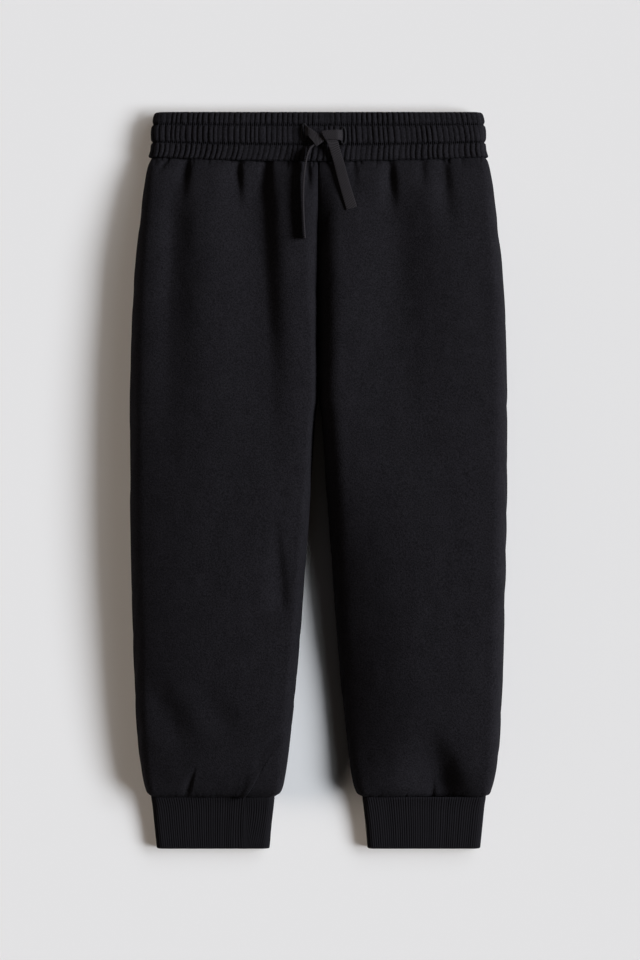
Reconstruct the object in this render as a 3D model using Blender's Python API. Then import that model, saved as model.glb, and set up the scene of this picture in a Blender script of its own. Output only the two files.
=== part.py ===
"""Child's jogger sweatpants, lying on their back on a flat surface.

Blender 4.5: blender --background --python part.py. Sizes in the tables are millimetres; the
scene is in metres. +X is the wearer's left, +Y points to the waist, +Z is up from the surface.
The origin is the middle of the garment's outline, on the surface.

Each half of the garment is a soft tube: a front panel over a back panel, joined at the side
seam and, below the crotch, at the inseam. Above the crotch the two halves meet at the centre
seams. A gathered elastic waistband and two ribbed cuffs are sewn to the panels, and a flat
drawstring comes out of the waistband and is hooked once round itself.
"""

import math

import bpy
import numpy as np

MM = 0.001

# ---------------------------------------------------------------- driving sizes
LENGTH = 540.0  # waist edge to cuff edge
CLOTH = 2.2  # fleece wall
BAND_WALL = 3.0  # two layers of fleece over elastic
CUFF_WALL = 2.2  # rib cloth, folded double
SEAM_GAP = 0.3  # between pieces that are sewn together
BAND_DEPTH = 33.3  # waistband at the sides
BAND_SAG = 3.3  # how much lower its seam hangs at the centre front
CROTCH = 211.0  # waist edge to crotch
HEM = 501.5  # waist edge to the cuff seam

# Cross-sections of one half, down the garment. "outer" and "inner" are the distances from the
# centre line to the side and to the inner leg, "loft" the height of the crown, "edge" the
# height of the side seam and inseam, "cleft" the height of the front at its inner end and
# "steep" how upright the inner wall is, from 0 to 1.
SECTION_COLUMNS = ("down", "outer", "inner", "loft", "edge", "cleft", "steep")
SECTIONS = (
    (33.6, 123.4, 0.15, 17.0, 7.5, 15.2, 0.00),
    (40.0, 125.3, 0.15, 20.0, 8.0, 17.2, 0.00),
    (53.5, 127.8, 0.15, 24.5, 8.8, 18.4, 0.05),
    (75.0, 130.6, 0.15, 29.0, 9.5, 18.8, 0.15),
    (108.0, 134.2, 0.15, 34.0, 10.3, 18.0, 0.30),
    (150.0, 136.8, 0.15, 37.0, 11.0, 15.8, 0.60),
    (185.0, 137.8, 0.15, 38.8, 11.0, 13.0, 0.90),
    (CROTCH, 138.2, 0.15, 39.5, 11.0, 11.0, 1.00),
    (222.0, 138.2, 1.6, 39.8, 11.0, 11.0, 1.00),
    (270.0, 138.2, 5.0, 40.0, 11.0, 11.0, 1.00),
    (330.0, 137.2, 9.2, 39.5, 11.0, 11.0, 1.00),
    (387.0, 136.0, 13.5, 38.0, 10.8, 10.8, 1.00),
    (438.0, 134.0, 18.2, 35.0, 10.4, 10.4, 1.00),
    (470.0, 131.8, 21.8, 31.0, 9.8, 9.8, 1.00),
    (487.0, 129.2, 24.4, 27.5, 9.0, 9.0, 1.00),
    (496.0, 127.0, 26.5, 23.5, 8.0, 8.0, 1.00),
    (500.0, 125.2, 28.9, 19.6, 7.6, 7.6, 1.00),
    (HEM, 123.2, 31.6, 16.4, 7.4, 7.4, 1.00),
)

# How each half rounds off: where its crown is, as a share of the width from the inner side, the
# width of its rounded outer and inner side, and the height that the shallow dome between them
# still climbs from the top of that side to the crown. The left half's crown moves outwards down
# the leg, and the right half lies higher on its inner side.
SIDE_COLUMNS = ("down", "crown", "outer_reach", "outer_dome", "inner_reach", "inner_dome")
LEFT_SIDES = (
    (33.6, 0.50, 6.5, 1.0, 5.5, 0.6),
    (53.5, 0.50, 9.0, 2.0, 13.0, 1.6),
    (108.0, 0.46, 10.5, 3.0, 16.0, 2.0),
    (185.0, 0.42, 11.5, 3.0, 17.0, 1.5),
    (CROTCH, 0.42, 12.0, 3.0, 17.0, 1.5),
    (245.0, 0.45, 12.0, 3.0, 17.0, 2.0),
    (270.0, 0.52, 12.0, 2.5, 17.0, 5.0),
    (300.0, 0.60, 12.0, 2.0, 16.0, 12.0),
    (330.0, 0.65, 12.0, 2.0, 15.0, 17.5),
    (387.0, 0.69, 11.5, 2.0, 14.0, 22.0),
    (438.0, 0.71, 11.0, 2.0, 12.0, 21.5),
    (470.0, 0.69, 10.0, 2.0, 11.0, 16.5),
    (487.0, 0.65, 9.0, 1.5, 10.0, 11.0),
    (500.0, 0.58, 6.5, 1.0, 7.0, 3.0),
    (HEM, 0.58, 5.5, 1.0, 5.5, 2.0),
)
RIGHT_SIDES = (
    (33.6, 0.42, 6.5, 1.0, 5.5, 0.6),
    (53.5, 0.42, 9.0, 3.5, 9.0, 2.0),
    (108.0, 0.42, 11.0, 8.0, 10.0, 4.0),
    (150.0, 0.42, 12.0, 10.5, 8.0, 5.0),
    (185.0, 0.42, 12.0, 11.5, 6.5, 5.5),
    (CROTCH, 0.42, 12.0, 12.0, 6.5, 5.5),
    (270.0, 0.42, 12.0, 12.0, 7.0, 5.0),
    (387.0, 0.42, 12.0, 12.0, 8.0, 3.5),
    (438.0, 0.42, 11.0, 10.5, 8.5, 3.5),
    (470.0, 0.42, 10.0, 8.5, 8.0, 3.0),
    (487.0, 0.42, 8.5, 5.5, 7.0, 2.5),
    (500.0, 0.42, 6.5, 1.0, 6.0, 1.0),
    (HEM, 0.42, 5.5, 1.0, 5.5, 1.0),
)
SQUARE = 2.4  # the power of the rounded sides' ellipse: 2 is round, more is squarer
DOME_POWER = 2.4  # and of the dome's fall from the crown

# Folds of the front: soft troughs from one point to another, with their half widths towards the
# right (-X) and the left (+X) side. A fold is deepest at "peak", a share of its length, narrower
# above that and wider below.
FOLD_COLUMNS = ("x_top", "down_top", "x_low", "down_low", "rightward", "leftward", "depth", "peak")
FOLDS = (
    (-94.4, 24.0, -101.5, 72.0, 6.0, 3.2, 4.2, 0.36),
    (-104.0, 34.0, -111.0, 300.0, 9.0, 13.0, 6.0, 0.22),
    (-58.9, 24.0, -58.9, 80.0, 8.0, 3.0, 4.8, 0.34),
    (-37.0, 24.0, -39.5, 70.0, 6.0, 3.2, 4.0, 0.32),
    (-43.0, 22.0, -32.0, 315.0, 28.0, 8.5, 10.0, 0.16),
    (-8.0, 24.0, -7.0, 72.0, 3.0, 2.6, 3.0, 0.40),
    (26.0, 24.0, 26.5, 66.0, 4.0, 2.6, 1.3, 0.40),
    (52.1, 24.0, 53.5, 84.0, 6.0, 3.6, 4.8, 0.38),
    (55.0, 30.0, 61.0, 300.0, 25.0, 21.0, 6.4, 0.27),
    (75.5, 24.0, 76.0, 62.0, 5.0, 2.6, 1.5, 0.40),
    (91.0, 24.0, 95.0, 98.0, 6.0, 4.2, 3.2, 0.30),
    (-32.0, 284.0, -26.0, 372.0, 9.0, 5.5, 3.0, 0.80),
    (-88.5, 474.0, -97.5, 505.0, 4.5, 1.8, 2.4, 0.70),
    (-128.0, 405.0, -88.0, 480.0, 14.0, 14.0, 3.6, 0.50),
    (-88.0, 405.0, -62.0, 470.0, 13.0, 13.0, 2.6, 0.55),
    (87.5, 438.0, 89.0, 514.0, 18.0, 9.0, 8.5, 0.58),
    (83.0, 482.0, 81.0, 508.0, 4.0, 2.6, 2.0, 0.60),
)
FOLD_SPREAD = 0.8

# Waistband rows: three gathered channels between four stitched lines. "loft" is the height
# between them, "swell" moves the row out, and "gather" is the height of its gathers.
BAND_COLUMNS = ("down", "outer", "loft", "swell", "gather")
BAND_ROWS = (
    (0.0, 119.1, 12.4, -0.4, 0.45),
    (4.4, 120.4, 13.6, 0.6, 0.75),
    (9.2, 121.2, 14.5, -0.6, 0.15),
    (12.8, 121.8, 15.2, 0.6, 0.75),
    (18.0, 121.9, 16.0, 0.6, 0.75),
    (22.3, 121.7, 16.4, -0.6, 0.15),
    (28.0, 121.9, 16.9, 0.6, 0.75),
    (BAND_DEPTH, 123.8, 17.2, -0.4, 0.20),
)
BAND_CREST = 1.7  # how far its tallest gathers stand above that
BAND_CORNER = 6.5  # horizontal radius of the band's rounded sides
BAND_GATHERS = 66  # in each channel, over the top and round the sides
BAND_UNDER = 6  # columns across the plain underside

# Cuff rows: "outer" and "inner" from the centre line, "loft" the height, "rib" the rib height.
CUFF_COLUMNS = ("down", "outer", "inner", "loft", "rib")
CUFF_ROWS = (
    (HEM + SEAM_GAP, 122.7, 32.3, 15.2, 0.25),
    (508.0, 121.7, 33.0, 13.0, 0.42),
    (522.0, 120.3, 34.6, 11.4, 0.42),
    (LENGTH, 118.5, 36.1, 10.4, 0.38),
)
CUFF_CORNER = 4.8
CUFF_RIBS = 56  # over the top and round the sides of each cuff
CUFF_UNDER = 3

# Drawstring tape
TAPE_WIDTH = 8.0
TAPE = 1.0

# Each stretch of tape leaves its buttonhole, folds under itself beside the other at the knot
# and hangs down to its free end. A row gives its two edges: "x", the distance "down" from the
# waist edge and the "lift" of the tape's middle above the cloth.
TAPE_COLUMNS = ("x_a", "down_a", "lift_a", "x_b", "down_b", "lift_b")
RIGHT_TAPE = (
    (-9.3, 18.3, 0.85, -9.5, 10.6, 0.85),
    (-9.0, 18.3, 1.50, -9.1, 10.8, 1.60),
    (-7.7, 18.7, 2.15, -6.8, 12.5, 2.40),
    (-5.9, 20.9, 2.15, -2.2, 15.8, 2.30),
    (-3.8, 23.4, 2.15, 1.5, 18.3, 2.20),
    (-2.2, 25.6, 2.10, 3.9, 21.1, 2.10),
    (-1.7, 26.1, 1.45, 4.5, 21.5, 1.45),
    (-2.2, 25.7, 0.80, 3.9, 21.1, 0.80),
    (-3.9, 26.2, 0.75, 0.6, 22.4, 0.75),
    (-5.6, 27.3, 0.75, -4.0, 25.9, 3.60),
    (-6.9, 29.7, 0.75, -6.0, 28.2, 6.60),
    (-8.5, 33.4, 0.75, -7.7, 32.8, 8.20),
    (-9.9, 39.2, 0.75, -8.7, 38.8, 8.30),
    (-11.2, 49.8, 0.75, -9.9, 49.8, 8.30),
    (-11.7, 64.5, 0.75, -10.5, 64.5, 8.30),
    (-11.2, 79.1, 0.75, -10.1, 79.1, 8.20),
    (-10.4, 94.2, 0.75, -9.2, 94.2, 8.00),
)
LEFT_TAPE = (
    (17.1, 14.3, 0.85, 17.1, 22.0, 0.85),
    (16.6, 14.3, 2.70, 16.6, 22.0, 2.70),
    (15.0, 14.4, 4.50, 15.0, 21.9, 4.50),
    (12.4, 14.5, 4.90, 12.8, 21.8, 4.90),
    (8.1, 14.7, 4.90, 9.9, 21.8, 4.90),
    (3.7, 15.2, 4.90, 7.0, 21.6, 4.90),
    (2.2, 15.7, 4.80, 5.7, 21.8, 4.80),
    (1.7, 16.0, 4.15, 5.3, 22.1, 4.15),
    (2.2, 16.3, 3.50, 5.7, 22.3, 3.50),
    (7.0, 17.6, 3.45, 6.4, 24.2, 3.40),
    (11.6, 20.1, 3.40, 7.3, 26.4, 3.20),
    (14.3, 23.1, 3.20, 8.1, 28.4, 2.90),
    (15.4, 27.1, 2.90, 8.9, 31.3, 2.60),
    (17.0, 32.2, 2.50, 10.1, 35.0, 2.30),
    (19.0, 38.8, 2.20, 11.5, 40.3, 2.10),
    (21.0, 46.9, 2.00, 13.6, 48.9, 2.00),
    (23.5, 55.7, 1.80, 16.0, 57.9, 1.80),
    (25.9, 63.7, 1.60, 18.3, 66.1, 1.60),
    (28.0, 70.7, 1.40, 20.3, 73.2, 1.40),
)


# ---------------------------------------------------------------- tables and curves
def column(rows, names, name):
    """One named column of a table."""
    return np.array([row[names.index(name)] for row in rows], float)


def smooth(at, knots, values):
    """Values read from a smooth curve through a table's rows: a cubic Hermite whose slope at
    each row is the mean of its neighbours' slopes, held flat where they change sign."""
    steps = np.diff(knots)
    rises = np.diff(values) / steps
    slopes = np.concatenate([[rises[0]], (rises[:-1] + rises[1:]) / 2, [rises[-1]]])
    turning = np.concatenate([[False], rises[:-1] * rises[1:] <= 0, [False]])
    slopes[turning] = 0.0
    at = np.clip(at, knots[0], knots[-1])
    i = np.clip(np.searchsorted(knots, at, side="right") - 1, 0, len(steps) - 1)
    t = (at - knots[i]) / steps[i]
    return (
        values[i] * (2 * t**3 - 3 * t**2 + 1)
        + values[i + 1] * (3 * t**2 - 2 * t**3)
        + slopes[i] * steps[i] * (t**3 - 2 * t**2 + t)
        + slopes[i + 1] * steps[i] * (t**3 - t**2)
    )


def section(name, down):
    """A measure of the half's cross-section at a distance below the waist edge."""
    return smooth(
        down, column(SECTIONS, SECTION_COLUMNS, "down"), column(SECTIONS, SECTION_COLUMNS, name)
    )


def fade(at, start, end):
    """0 before start, 1 after end, and a smooth step between them."""
    t = np.clip((at - start) / (end - start), 0.0, 1.0)
    return t * t * (3 - 2 * t)


def sag(x, down):
    """How much lower the front hangs at this x: a parabola across the waist seam that fades out
    below it."""
    across = np.clip(1 - (x / SECTIONS[0][1]) ** 2, 0.0, 1.0)
    return BAND_SAG * across * (1 - fade(down, BAND_DEPTH, 90.0))


def bell(at, middle, half):
    """A bell curve of height 1: e to the power of minus the squared distance in half widths."""
    return np.exp(-(((at - middle) / half) ** 2))


def fold_drop(x, down):
    """How far the folds lower the front at a point: a sum of bell-shaped troughs, each along
    its own line, steeper on one side, that rise from nothing at both ends."""
    drop = np.zeros(np.broadcast(x, down).shape)
    for x_top, down_top, x_low, down_low, rightward, leftward, depth, peak in FOLDS:
        along = (down - down_top) / (down_low - down_top)
        line = x_top + (x_low - x_top) * along
        swell = fade(along, 0.0, peak) * (1 - fade(along, peak, 1.0))
        spread = 1 + FOLD_SPREAD * (np.clip(along, 0.0, 1.0) - peak)
        half = np.where(x < line, rightward, leftward) * spread
        drop += depth * swell * bell(x, line, half)
    return drop


# ---------------------------------------------------------------- the two surfaces of a half
ROLL_SHARE = 4 / 24  # share of a panel's width given to each rounded side
QUARTER = math.pi / 2


def side_shape(name, down, side):
    """A measure of how one half rounds off, at a distance below the waist edge."""
    rows = LEFT_SIDES if side > 0 else RIGHT_SIDES
    return smooth(down, column(rows, SIDE_COLUMNS, "down"), column(rows, SIDE_COLUMNS, name))


def rounded(share):
    """A quarter of a squarish ellipse, from upright at 0 to level at 1: how far it has come in
    and up. Each is a power of the angle's cosine or sine."""
    angle = QUARTER * np.clip(share, 0.0, 1.0)
    return 1 - np.cos(angle) ** (2 / SQUARE), np.sin(angle) ** (2 / SQUARE)


def front_points(down, across, side, folded=True):
    """Points of the front's outer face. "across" runs from 0 at the side seam to 1 at the inner
    end. The section is two rounded sides with a shallow dome over them, and its inner wall
    turns from a soft slope at the waist to upright at the leg. The folds can be left out."""
    outer, inner, loft = (section(n, down) for n in ("outer", "inner", "loft"))
    edge, cleft, steep = (section(n, down) for n in ("edge", "cleft", "steep"))
    crown_share, out_reach, out_dome, in_reach, in_dome = (
        side_shape(n, down, side) for n in SIDE_COLUMNS[1:]
    )
    edge = edge + SEAM_GAP / 2
    cleft = cleft + SEAM_GAP / 2
    out_share, in_share = across / ROLL_SHARE, (1 - across) / ROLL_SHARE
    out_in, out_up = rounded(out_share)
    in_in, in_up = rounded(in_share)
    middle = np.clip((across - ROLL_SHARE) / (1 - 2 * ROLL_SHARE), 0.0, 1.0)
    slide = in_reach * (steep * in_in + (1 - steep) * np.clip(in_share, 0.0, 1.0))
    span = outer - inner - out_reach - in_reach
    x = np.where(
        across < ROLL_SHARE,
        outer - out_reach * out_in,
        np.where(across > 1 - ROLL_SHARE, inner + slide, outer - out_reach - span * middle),
    )
    crown = inner + (outer - inner) * crown_share
    beyond = x > crown
    off = np.where(beyond, (x - crown) / (outer - crown), (crown - x) / (crown - inner))
    dome = np.where(beyond, out_dome, in_dome)
    end = np.where(beyond, edge, cleft)
    turned = np.where(beyond, out_up, in_up)
    z = end + (loft - end - dome) * turned + dome * (1 - np.clip(off, 0.0, 1.0) ** DOME_POWER)
    x = side * x
    if folded:
        shown = fade(np.minimum(across, 1 - across), 0.02, 0.22)
        z = z - fold_drop(x, down) * np.where(down < CROTCH, fade(across, 0.02, 0.2), shown)
    return x, down + sag(x, down), z


def back_points(down, across, side):
    """Points of the back's outer face: a quarter circle down from the side seam to the surface,
    flat, and up again to the inseam on the leg."""
    outer, inner, edge = (section(n, down) for n in ("outer", "inner", "edge"))
    edge = edge - SEAM_GAP / 2
    rise = fade(down, CROTCH - 45.0, CROTCH)
    out_angle = QUARTER * np.clip(across / ROLL_SHARE, 0.0, 1.0)
    in_angle = QUARTER * np.clip((1 - across) / ROLL_SHARE, 0.0, 1.0)
    middle = np.clip((across - ROLL_SHARE) / (1 - 2 * ROLL_SHARE), 0.0, 1.0)
    in_reach = edge * (rise * (1 - np.cos(in_angle)) + (1 - rise) * in_angle / QUARTER)
    span = outer - inner - 2 * edge
    x = np.where(
        across < ROLL_SHARE,
        outer - edge * (1 - np.cos(out_angle)),
        np.where(across > 1 - ROLL_SHARE, inner + in_reach, outer - edge - span * middle),
    )
    z = edge * (1 - np.sin(out_angle)) + rise * edge * (1 - np.sin(in_angle))
    return side * x, down + 0.0 * x, z


# ---------------------------------------------------------------- meshes
def place(x, down, z):
    """Millimetres across, below the waist edge and above the surface, as scene points."""
    x, down, z = np.broadcast_arrays(x, down, z)
    return np.stack([x, LENGTH / 2 - down, z], axis=-1).reshape(-1, 3) * MM


def grid_faces(rows, columns, closed=False, flip=False):
    """Quads over a grid of points, wrapping round its columns and rows where it is closed."""
    row = np.arange(rows if closed else rows - 1)[:, None]
    col = np.arange(columns if closed else columns - 1)[None, :]
    below, beside = (row + 1) % rows, (col + 1) % columns
    quads = [row * columns + col, row * columns + beside]
    quads += [below * columns + beside, below * columns + col]
    quads = np.stack(np.broadcast_arrays(*quads), axis=-1).reshape(-1, 4)
    return quads[:, ::-1] if flip else quads


def mesh_object(name, points, faces, material):
    """A smooth-shaded mesh object."""
    mesh = bpy.data.meshes.new(name)
    mesh.from_pydata(points.tolist(), [], faces.tolist())
    mesh.materials.append(material)
    mesh.shade_smooth()
    mesh.set_sharp_from_angle(angle=math.radians(50))
    mesh.update()
    made = bpy.data.objects.new(name, mesh)
    bpy.context.scene.collection.objects.link(made)
    return made


def material(name, colour, roughness):
    made = bpy.data.materials.new(name)
    made.use_nodes = True
    shader = made.node_tree.nodes["Principled BSDF"]
    shader.inputs["Base Color"].default_value = (*colour, 1.0)
    shader.inputs["Roughness"].default_value = roughness
    shader.inputs["Metallic"].default_value = 0.0
    return made


def unit(vectors):
    """Vectors scaled to length 1."""
    return vectors / np.linalg.norm(vectors, axis=-1, keepdims=True)


def inward(face, down, outwards):
    """Unit vectors into the cloth from a grid of points on its outer face: the surface's normal,
    the cross product of its two gradients, turned flat along each cut edge so that the wall
    ends in the seam's own plane. The waist and hem seams are across the garment, the side seam
    and inseam are level, and the centre seams, above the crotch, are upright."""
    normal = outwards * unit(np.cross(np.gradient(face, axis=1), np.gradient(face, axis=0)))
    level, upright = normal * (1, 1, 0), normal * (0, 1, 1)
    normal[:, 0] = level[:, 0]
    legs = fade(down[:, -1:], CROTCH - 55.0, CROTCH - 18.0)
    normal[:, -1] = legs * level[:, -1] + (1 - legs) * upright[:, -1]
    normal[0] *= (1, 0, 1)
    normal[-1] *= (1, 0, 1)
    return -unit(normal)


def panel(name, points, side, rows, columns, cloth):
    """A cut panel: a grid over its outer face, the same grid a cloth's thickness further in, and
    a rim between them along its four edges. The wall's direction is that of the smooth face, so
    it doesn't cross itself in a sharp fold."""
    down, across = np.meshgrid(rows, columns, indexing="ij")
    face = place(*points(down, across, side)).reshape(*down.shape, 3)
    outwards = side if points is front_points else -side
    plain = face
    if points is front_points:
        plain = place(*points(down, across, side, folded=False)).reshape(*down.shape, 3)
    lining = face + inward(plain, down, outwards) * CLOTH * MM
    count = face.size // 3
    index = np.arange(count).reshape(down.shape)
    flip = outwards < 0
    skin = grid_faces(*down.shape, flip=flip)
    ring = np.concatenate([index[0], index[1:, -1], index[-1, -2::-1], index[-2:0:-1, 0]])
    ahead = np.roll(ring, -1)
    rim = np.stack([ahead, ring, ring + count, ahead + count], axis=1)
    faces = np.concatenate([skin, skin[:, ::-1] + count, rim[:, ::-1] if flip else rim])
    return mesh_object(name, np.concatenate([face, lining]).reshape(-1, 3), faces, cloth)


FRONT_ROWS = (33.6, 38, 44, 52, 62, 75, 91, 110, 132, 154, 176, 196, CROTCH)
LEG_ROWS = (222, 240, 270, 305, 345, 385, 420, 447, 467, 480, 489, 495.5, 499.6, HEM)
BACK_ROWS = (33.6, 50, 80, 120, 160, 180, 196, CROTCH)
BACK_LEG_ROWS = (222, 250, 320, 400, 447, 470, 487, 496, 500, HEM)


def shares(middle):
    """Places across a panel: four steps on each rounded side and some over the middle."""
    rolled = np.linspace(0.0, ROLL_SHARE, 5)
    between = np.linspace(ROLL_SHARE, 1 - ROLL_SHARE, middle + 1)[1:-1]
    return np.concatenate([rolled, between, 1 - rolled[::-1]])


def make_panels(cloth):
    for word, side in (("left", 1), ("right", -1)):
        panel("front_" + word, front_points, side, FRONT_ROWS + LEG_ROWS, shares(30), cloth)
        panel("back_" + word, back_points, side, BACK_ROWS + BACK_LEG_ROWS, shares(6), cloth)


def wall_of_rings(name, outer, inner, cloth):
    """A tube wall: rings down the outside and back up the inside, joined round both edges."""
    rings = [place(*ring) for ring in outer] + [place(*ring) for ring in inner[::-1]]
    faces = grid_faces(len(rings), len(rings[0]), closed=True, flip=True)
    return mesh_object(name, np.concatenate(rings), faces, cloth)


SIDE_STEPS = 4  # steps round each lower corner of a ring


def rounded_ring(low_x, high_x, loft, corner, over, under):
    """A closed ring round a flattened tube: "over" points over its upper face and down both
    sides to half height, then round the lower corners, with "under" points on the flat below.
    Returns x, z and the outward normal's x and z. The sides are quarter ellipses of the corner
    radius and half the loft."""
    half = loft / 2
    flat = high_x - low_x - 2 * corner
    arc = math.pi / 2 * math.sqrt((corner**2 + half**2) / 2)

    def along(distance):
        left = np.clip(distance / arc, 0.0, 1.0)
        right = np.clip((distance - arc - flat) / arc, 0.0, 1.0)
        slide = np.clip(distance - arc, 0.0, flat)
        angle = math.pi * (1 - left / 2) - math.pi / 2 * right
        x = low_x + corner + slide + corner * np.cos(angle)
        return x, half * np.sin(angle), np.cos(angle), np.sin(angle)

    around = 2 * arc + flat
    upper = np.linspace(0.0, around, over, endpoint=False)
    lower = np.concatenate(
        [
            np.linspace(around, around - arc, SIDE_STEPS, endpoint=False),
            np.linspace(around - arc, arc, under, endpoint=False),
            np.linspace(arc, 0.0, SIDE_STEPS, endpoint=False),
        ]
    )
    x_up, z_up, nx_up, nz_up = along(upper)
    x_low, z_low, nx_low, nz_low = along(lower)
    return (
        np.concatenate([x_up, x_low]),
        half + np.concatenate([z_up, -z_low]),
        np.concatenate([nx_up, nx_low]),
        np.concatenate([nz_up, -nz_low]),
    )


def band_ring(down, outer, loft, swell, gather, shift=0, depth=0.0):
    """A ring of the waistband. Points over the upper face stand up and down in turn to make the
    gathers; "shift" swaps peak and valley from one channel to the next. "depth" moves a plain
    ring inwards, for the inside."""
    over = 2 * BAND_GATHERS
    x, z, nx, nz = rounded_ring(
        depth - outer, outer - depth, loft - 2 * depth, BAND_CORNER - depth * 0.6, over, BAND_UNDER
    )
    z = z + depth
    upper = fade(z, loft * 0.30, loft * 0.62)
    count = np.arange(len(x))
    peak = np.where((count + shift) % 2 == 0, 1.0, -1.0)
    uneven = 1 + 0.3 * np.sin(count * 2.3 + shift) * np.cos(count * 0.7)
    move = (swell + gather * peak * uneven) * upper
    across = np.clip(1 - (x / outer) ** 2, 0.0, 1.0)
    hang = (down / BAND_DEPTH) ** 1.3
    at = down + BAND_SAG * hang * across * fade(z, 0.0, loft * 0.9)
    return x + nx * move, at, z + np.maximum(nz, 0.0) * move


def make_waistband(cloth):
    outer = [band_ring(*row, shift=(i + 1) // 2) for i, row in enumerate(BAND_ROWS)]
    inner = [band_ring(*row[:3], 0.0, 0.0, depth=BAND_WALL) for row in BAND_ROWS[::3] + BAND_ROWS[-1:]]
    return wall_of_rings("waistband", outer, inner, cloth)


def cuff_ring(down, outer, inner, loft, rib, side, depth=0.0):
    """A ring of a cuff, ribbed over its upper face and sides and plain below."""
    over = 2 * CUFF_RIBS
    low_x, high_x = sorted((side * inner, side * outer))
    x, z, nx, nz = rounded_ring(
        low_x + depth, high_x - depth, loft - 2 * depth, CUFF_CORNER - depth * 0.6, over, CUFF_UNDER
    )
    z = z + depth
    peak = np.where(np.arange(len(x)) % 2 == 0, 1.0, -1.0)
    move = rib * peak * fade(z, loft * 0.25, loft * 0.5)
    return x + nx * move, down + 0.0 * x, z + np.maximum(nz, 0.0) * move


def make_cuff(name, side, cloth):
    outer = [cuff_ring(*row, side=side) for row in CUFF_ROWS]
    inner = [cuff_ring(*row[:4], 0.0, side=side, depth=CUFF_WALL) for row in CUFF_ROWS]
    return wall_of_rings(name, outer, inner, cloth)


# ---------------------------------------------------------------- drawstring
def cloth_height(x, down):
    """The height of the upper face under the drawstring: the tops of the band's gathers, then
    the fronts on either side of the centre, as a level line through each point would meet it."""
    lofts = [column(BAND_ROWS, BAND_COLUMNS, name) for name in ("down", "loft")]
    on_band = smooth(down, *lofts) + BAND_CREST
    across = np.linspace(0.0, 1.0, 160)
    on_body = []
    for at_x, at_down in zip(x, down):
        below = np.full(across.shape, max(at_down, SECTIONS[0][0]))
        xs, _, zs = front_points(below, across, 1 if at_x > 0 else -1)
        near = np.abs(xs - at_x) < TAPE_WIDTH / 2
        on_body.append(zs[near].max())
    share = fade(down, BAND_DEPTH - 3.0, BAND_DEPTH + 14.0)
    on_body = np.maximum(on_body, on_band * (1 - share))
    return on_band * (1 - share) + on_body * share


def tape_points(stations):
    """The four corners of the tape at points along a smooth curve through its stations: half a
    thickness to each side of its two edges, along the cross product of its length and width."""
    knots = np.arange(len(stations), dtype=float)
    at = np.linspace(0.0, knots[-1], 2 * len(stations) - 1)
    columns = [smooth(at, knots, column(stations, TAPE_COLUMNS, name)) for name in TAPE_COLUMNS]
    x, down, lift = (np.stack([columns[i], columns[i + 3]], axis=1) for i in range(3))
    height = cloth_height(x.mean(axis=1), down.mean(axis=1))
    edges = np.stack([x, LENGTH / 2 - down, height[:, None] + lift], axis=2)
    ahead = np.gradient(edges.mean(axis=1), axis=0)
    face = unit(np.cross(ahead, edges[:, 1] - edges[:, 0])) * TAPE / 2
    first, second = edges[:, 0], edges[:, 1]
    return np.stack([first - face, second - face, second + face, first + face], axis=1)


def make_tape(name, stations, cloth):
    """The flat tape as a solid: its rectangle carried along the stations, with closed ends."""
    corners = tape_points(stations)
    count = len(corners)
    quads = []
    for i in range(count - 1):
        for a in range(4):
            b = (a + 1) % 4
            quads.append((4 * i + a, 4 * i + b, 4 * i + 4 + b, 4 * i + 4 + a))
    quads += [(3, 2, 1, 0), tuple(4 * (count - 1) + a for a in range(4))]
    made = mesh_object(name, corners.reshape(-1, 3) * MM, np.array(quads), cloth)
    return made


def main():
    for old in list(bpy.data.objects):
        bpy.data.objects.remove(old)
    fleece = material("fleece", (0.014, 0.013, 0.016), 0.92)
    rib = material("rib", (0.013, 0.012, 0.015), 0.9)
    tape = material("tape", (0.024, 0.023, 0.026), 0.8)
    make_panels(fleece)
    make_waistband(fleece)
    make_cuff("cuff_left", 1, rib)
    make_cuff("cuff_right", -1, rib)
    make_tape("drawstring_left", LEFT_TAPE, tape)
    make_tape("drawstring_right", RIGHT_TAPE, tape)


main()
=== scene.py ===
"""Child's jogger sweatpants, lying on their back: the dressed model, built round the frame.

Every piece of cloth is a closed wall worked out from a surface of two numbers: how far down
the garment and how far across the piece. Lengths in the tables and functions are millimetres,
and meshes are in metres. +X is the wearer's left, +Y points to the waist, +Z is up.
"""

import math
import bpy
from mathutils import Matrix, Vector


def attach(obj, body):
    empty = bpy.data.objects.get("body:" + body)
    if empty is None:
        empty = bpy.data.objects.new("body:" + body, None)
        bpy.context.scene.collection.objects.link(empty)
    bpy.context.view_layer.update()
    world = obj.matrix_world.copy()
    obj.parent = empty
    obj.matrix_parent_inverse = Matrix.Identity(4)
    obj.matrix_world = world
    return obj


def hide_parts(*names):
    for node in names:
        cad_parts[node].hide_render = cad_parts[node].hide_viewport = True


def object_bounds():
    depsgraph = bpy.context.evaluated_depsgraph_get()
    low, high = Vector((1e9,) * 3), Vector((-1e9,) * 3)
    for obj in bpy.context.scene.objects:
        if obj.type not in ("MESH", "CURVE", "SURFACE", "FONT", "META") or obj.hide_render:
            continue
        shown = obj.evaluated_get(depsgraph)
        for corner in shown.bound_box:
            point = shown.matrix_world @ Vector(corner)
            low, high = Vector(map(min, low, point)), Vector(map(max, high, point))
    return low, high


bl_info = {
    "name": "Jogger Sweatpants",
    "version": (1, 0, 0),
    "blender": (4, 5, 0),
    "location": "3D View > Sidebar > Sweatpants",
    "description": "Fleece sweatpants with a gathered waistband, a drawstring and ribbed cuffs",
    "category": "Add Mesh",
}

import bpy
import numpy as np
from bpy.props import FloatProperty, FloatVectorProperty, IntProperty, PointerProperty

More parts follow.
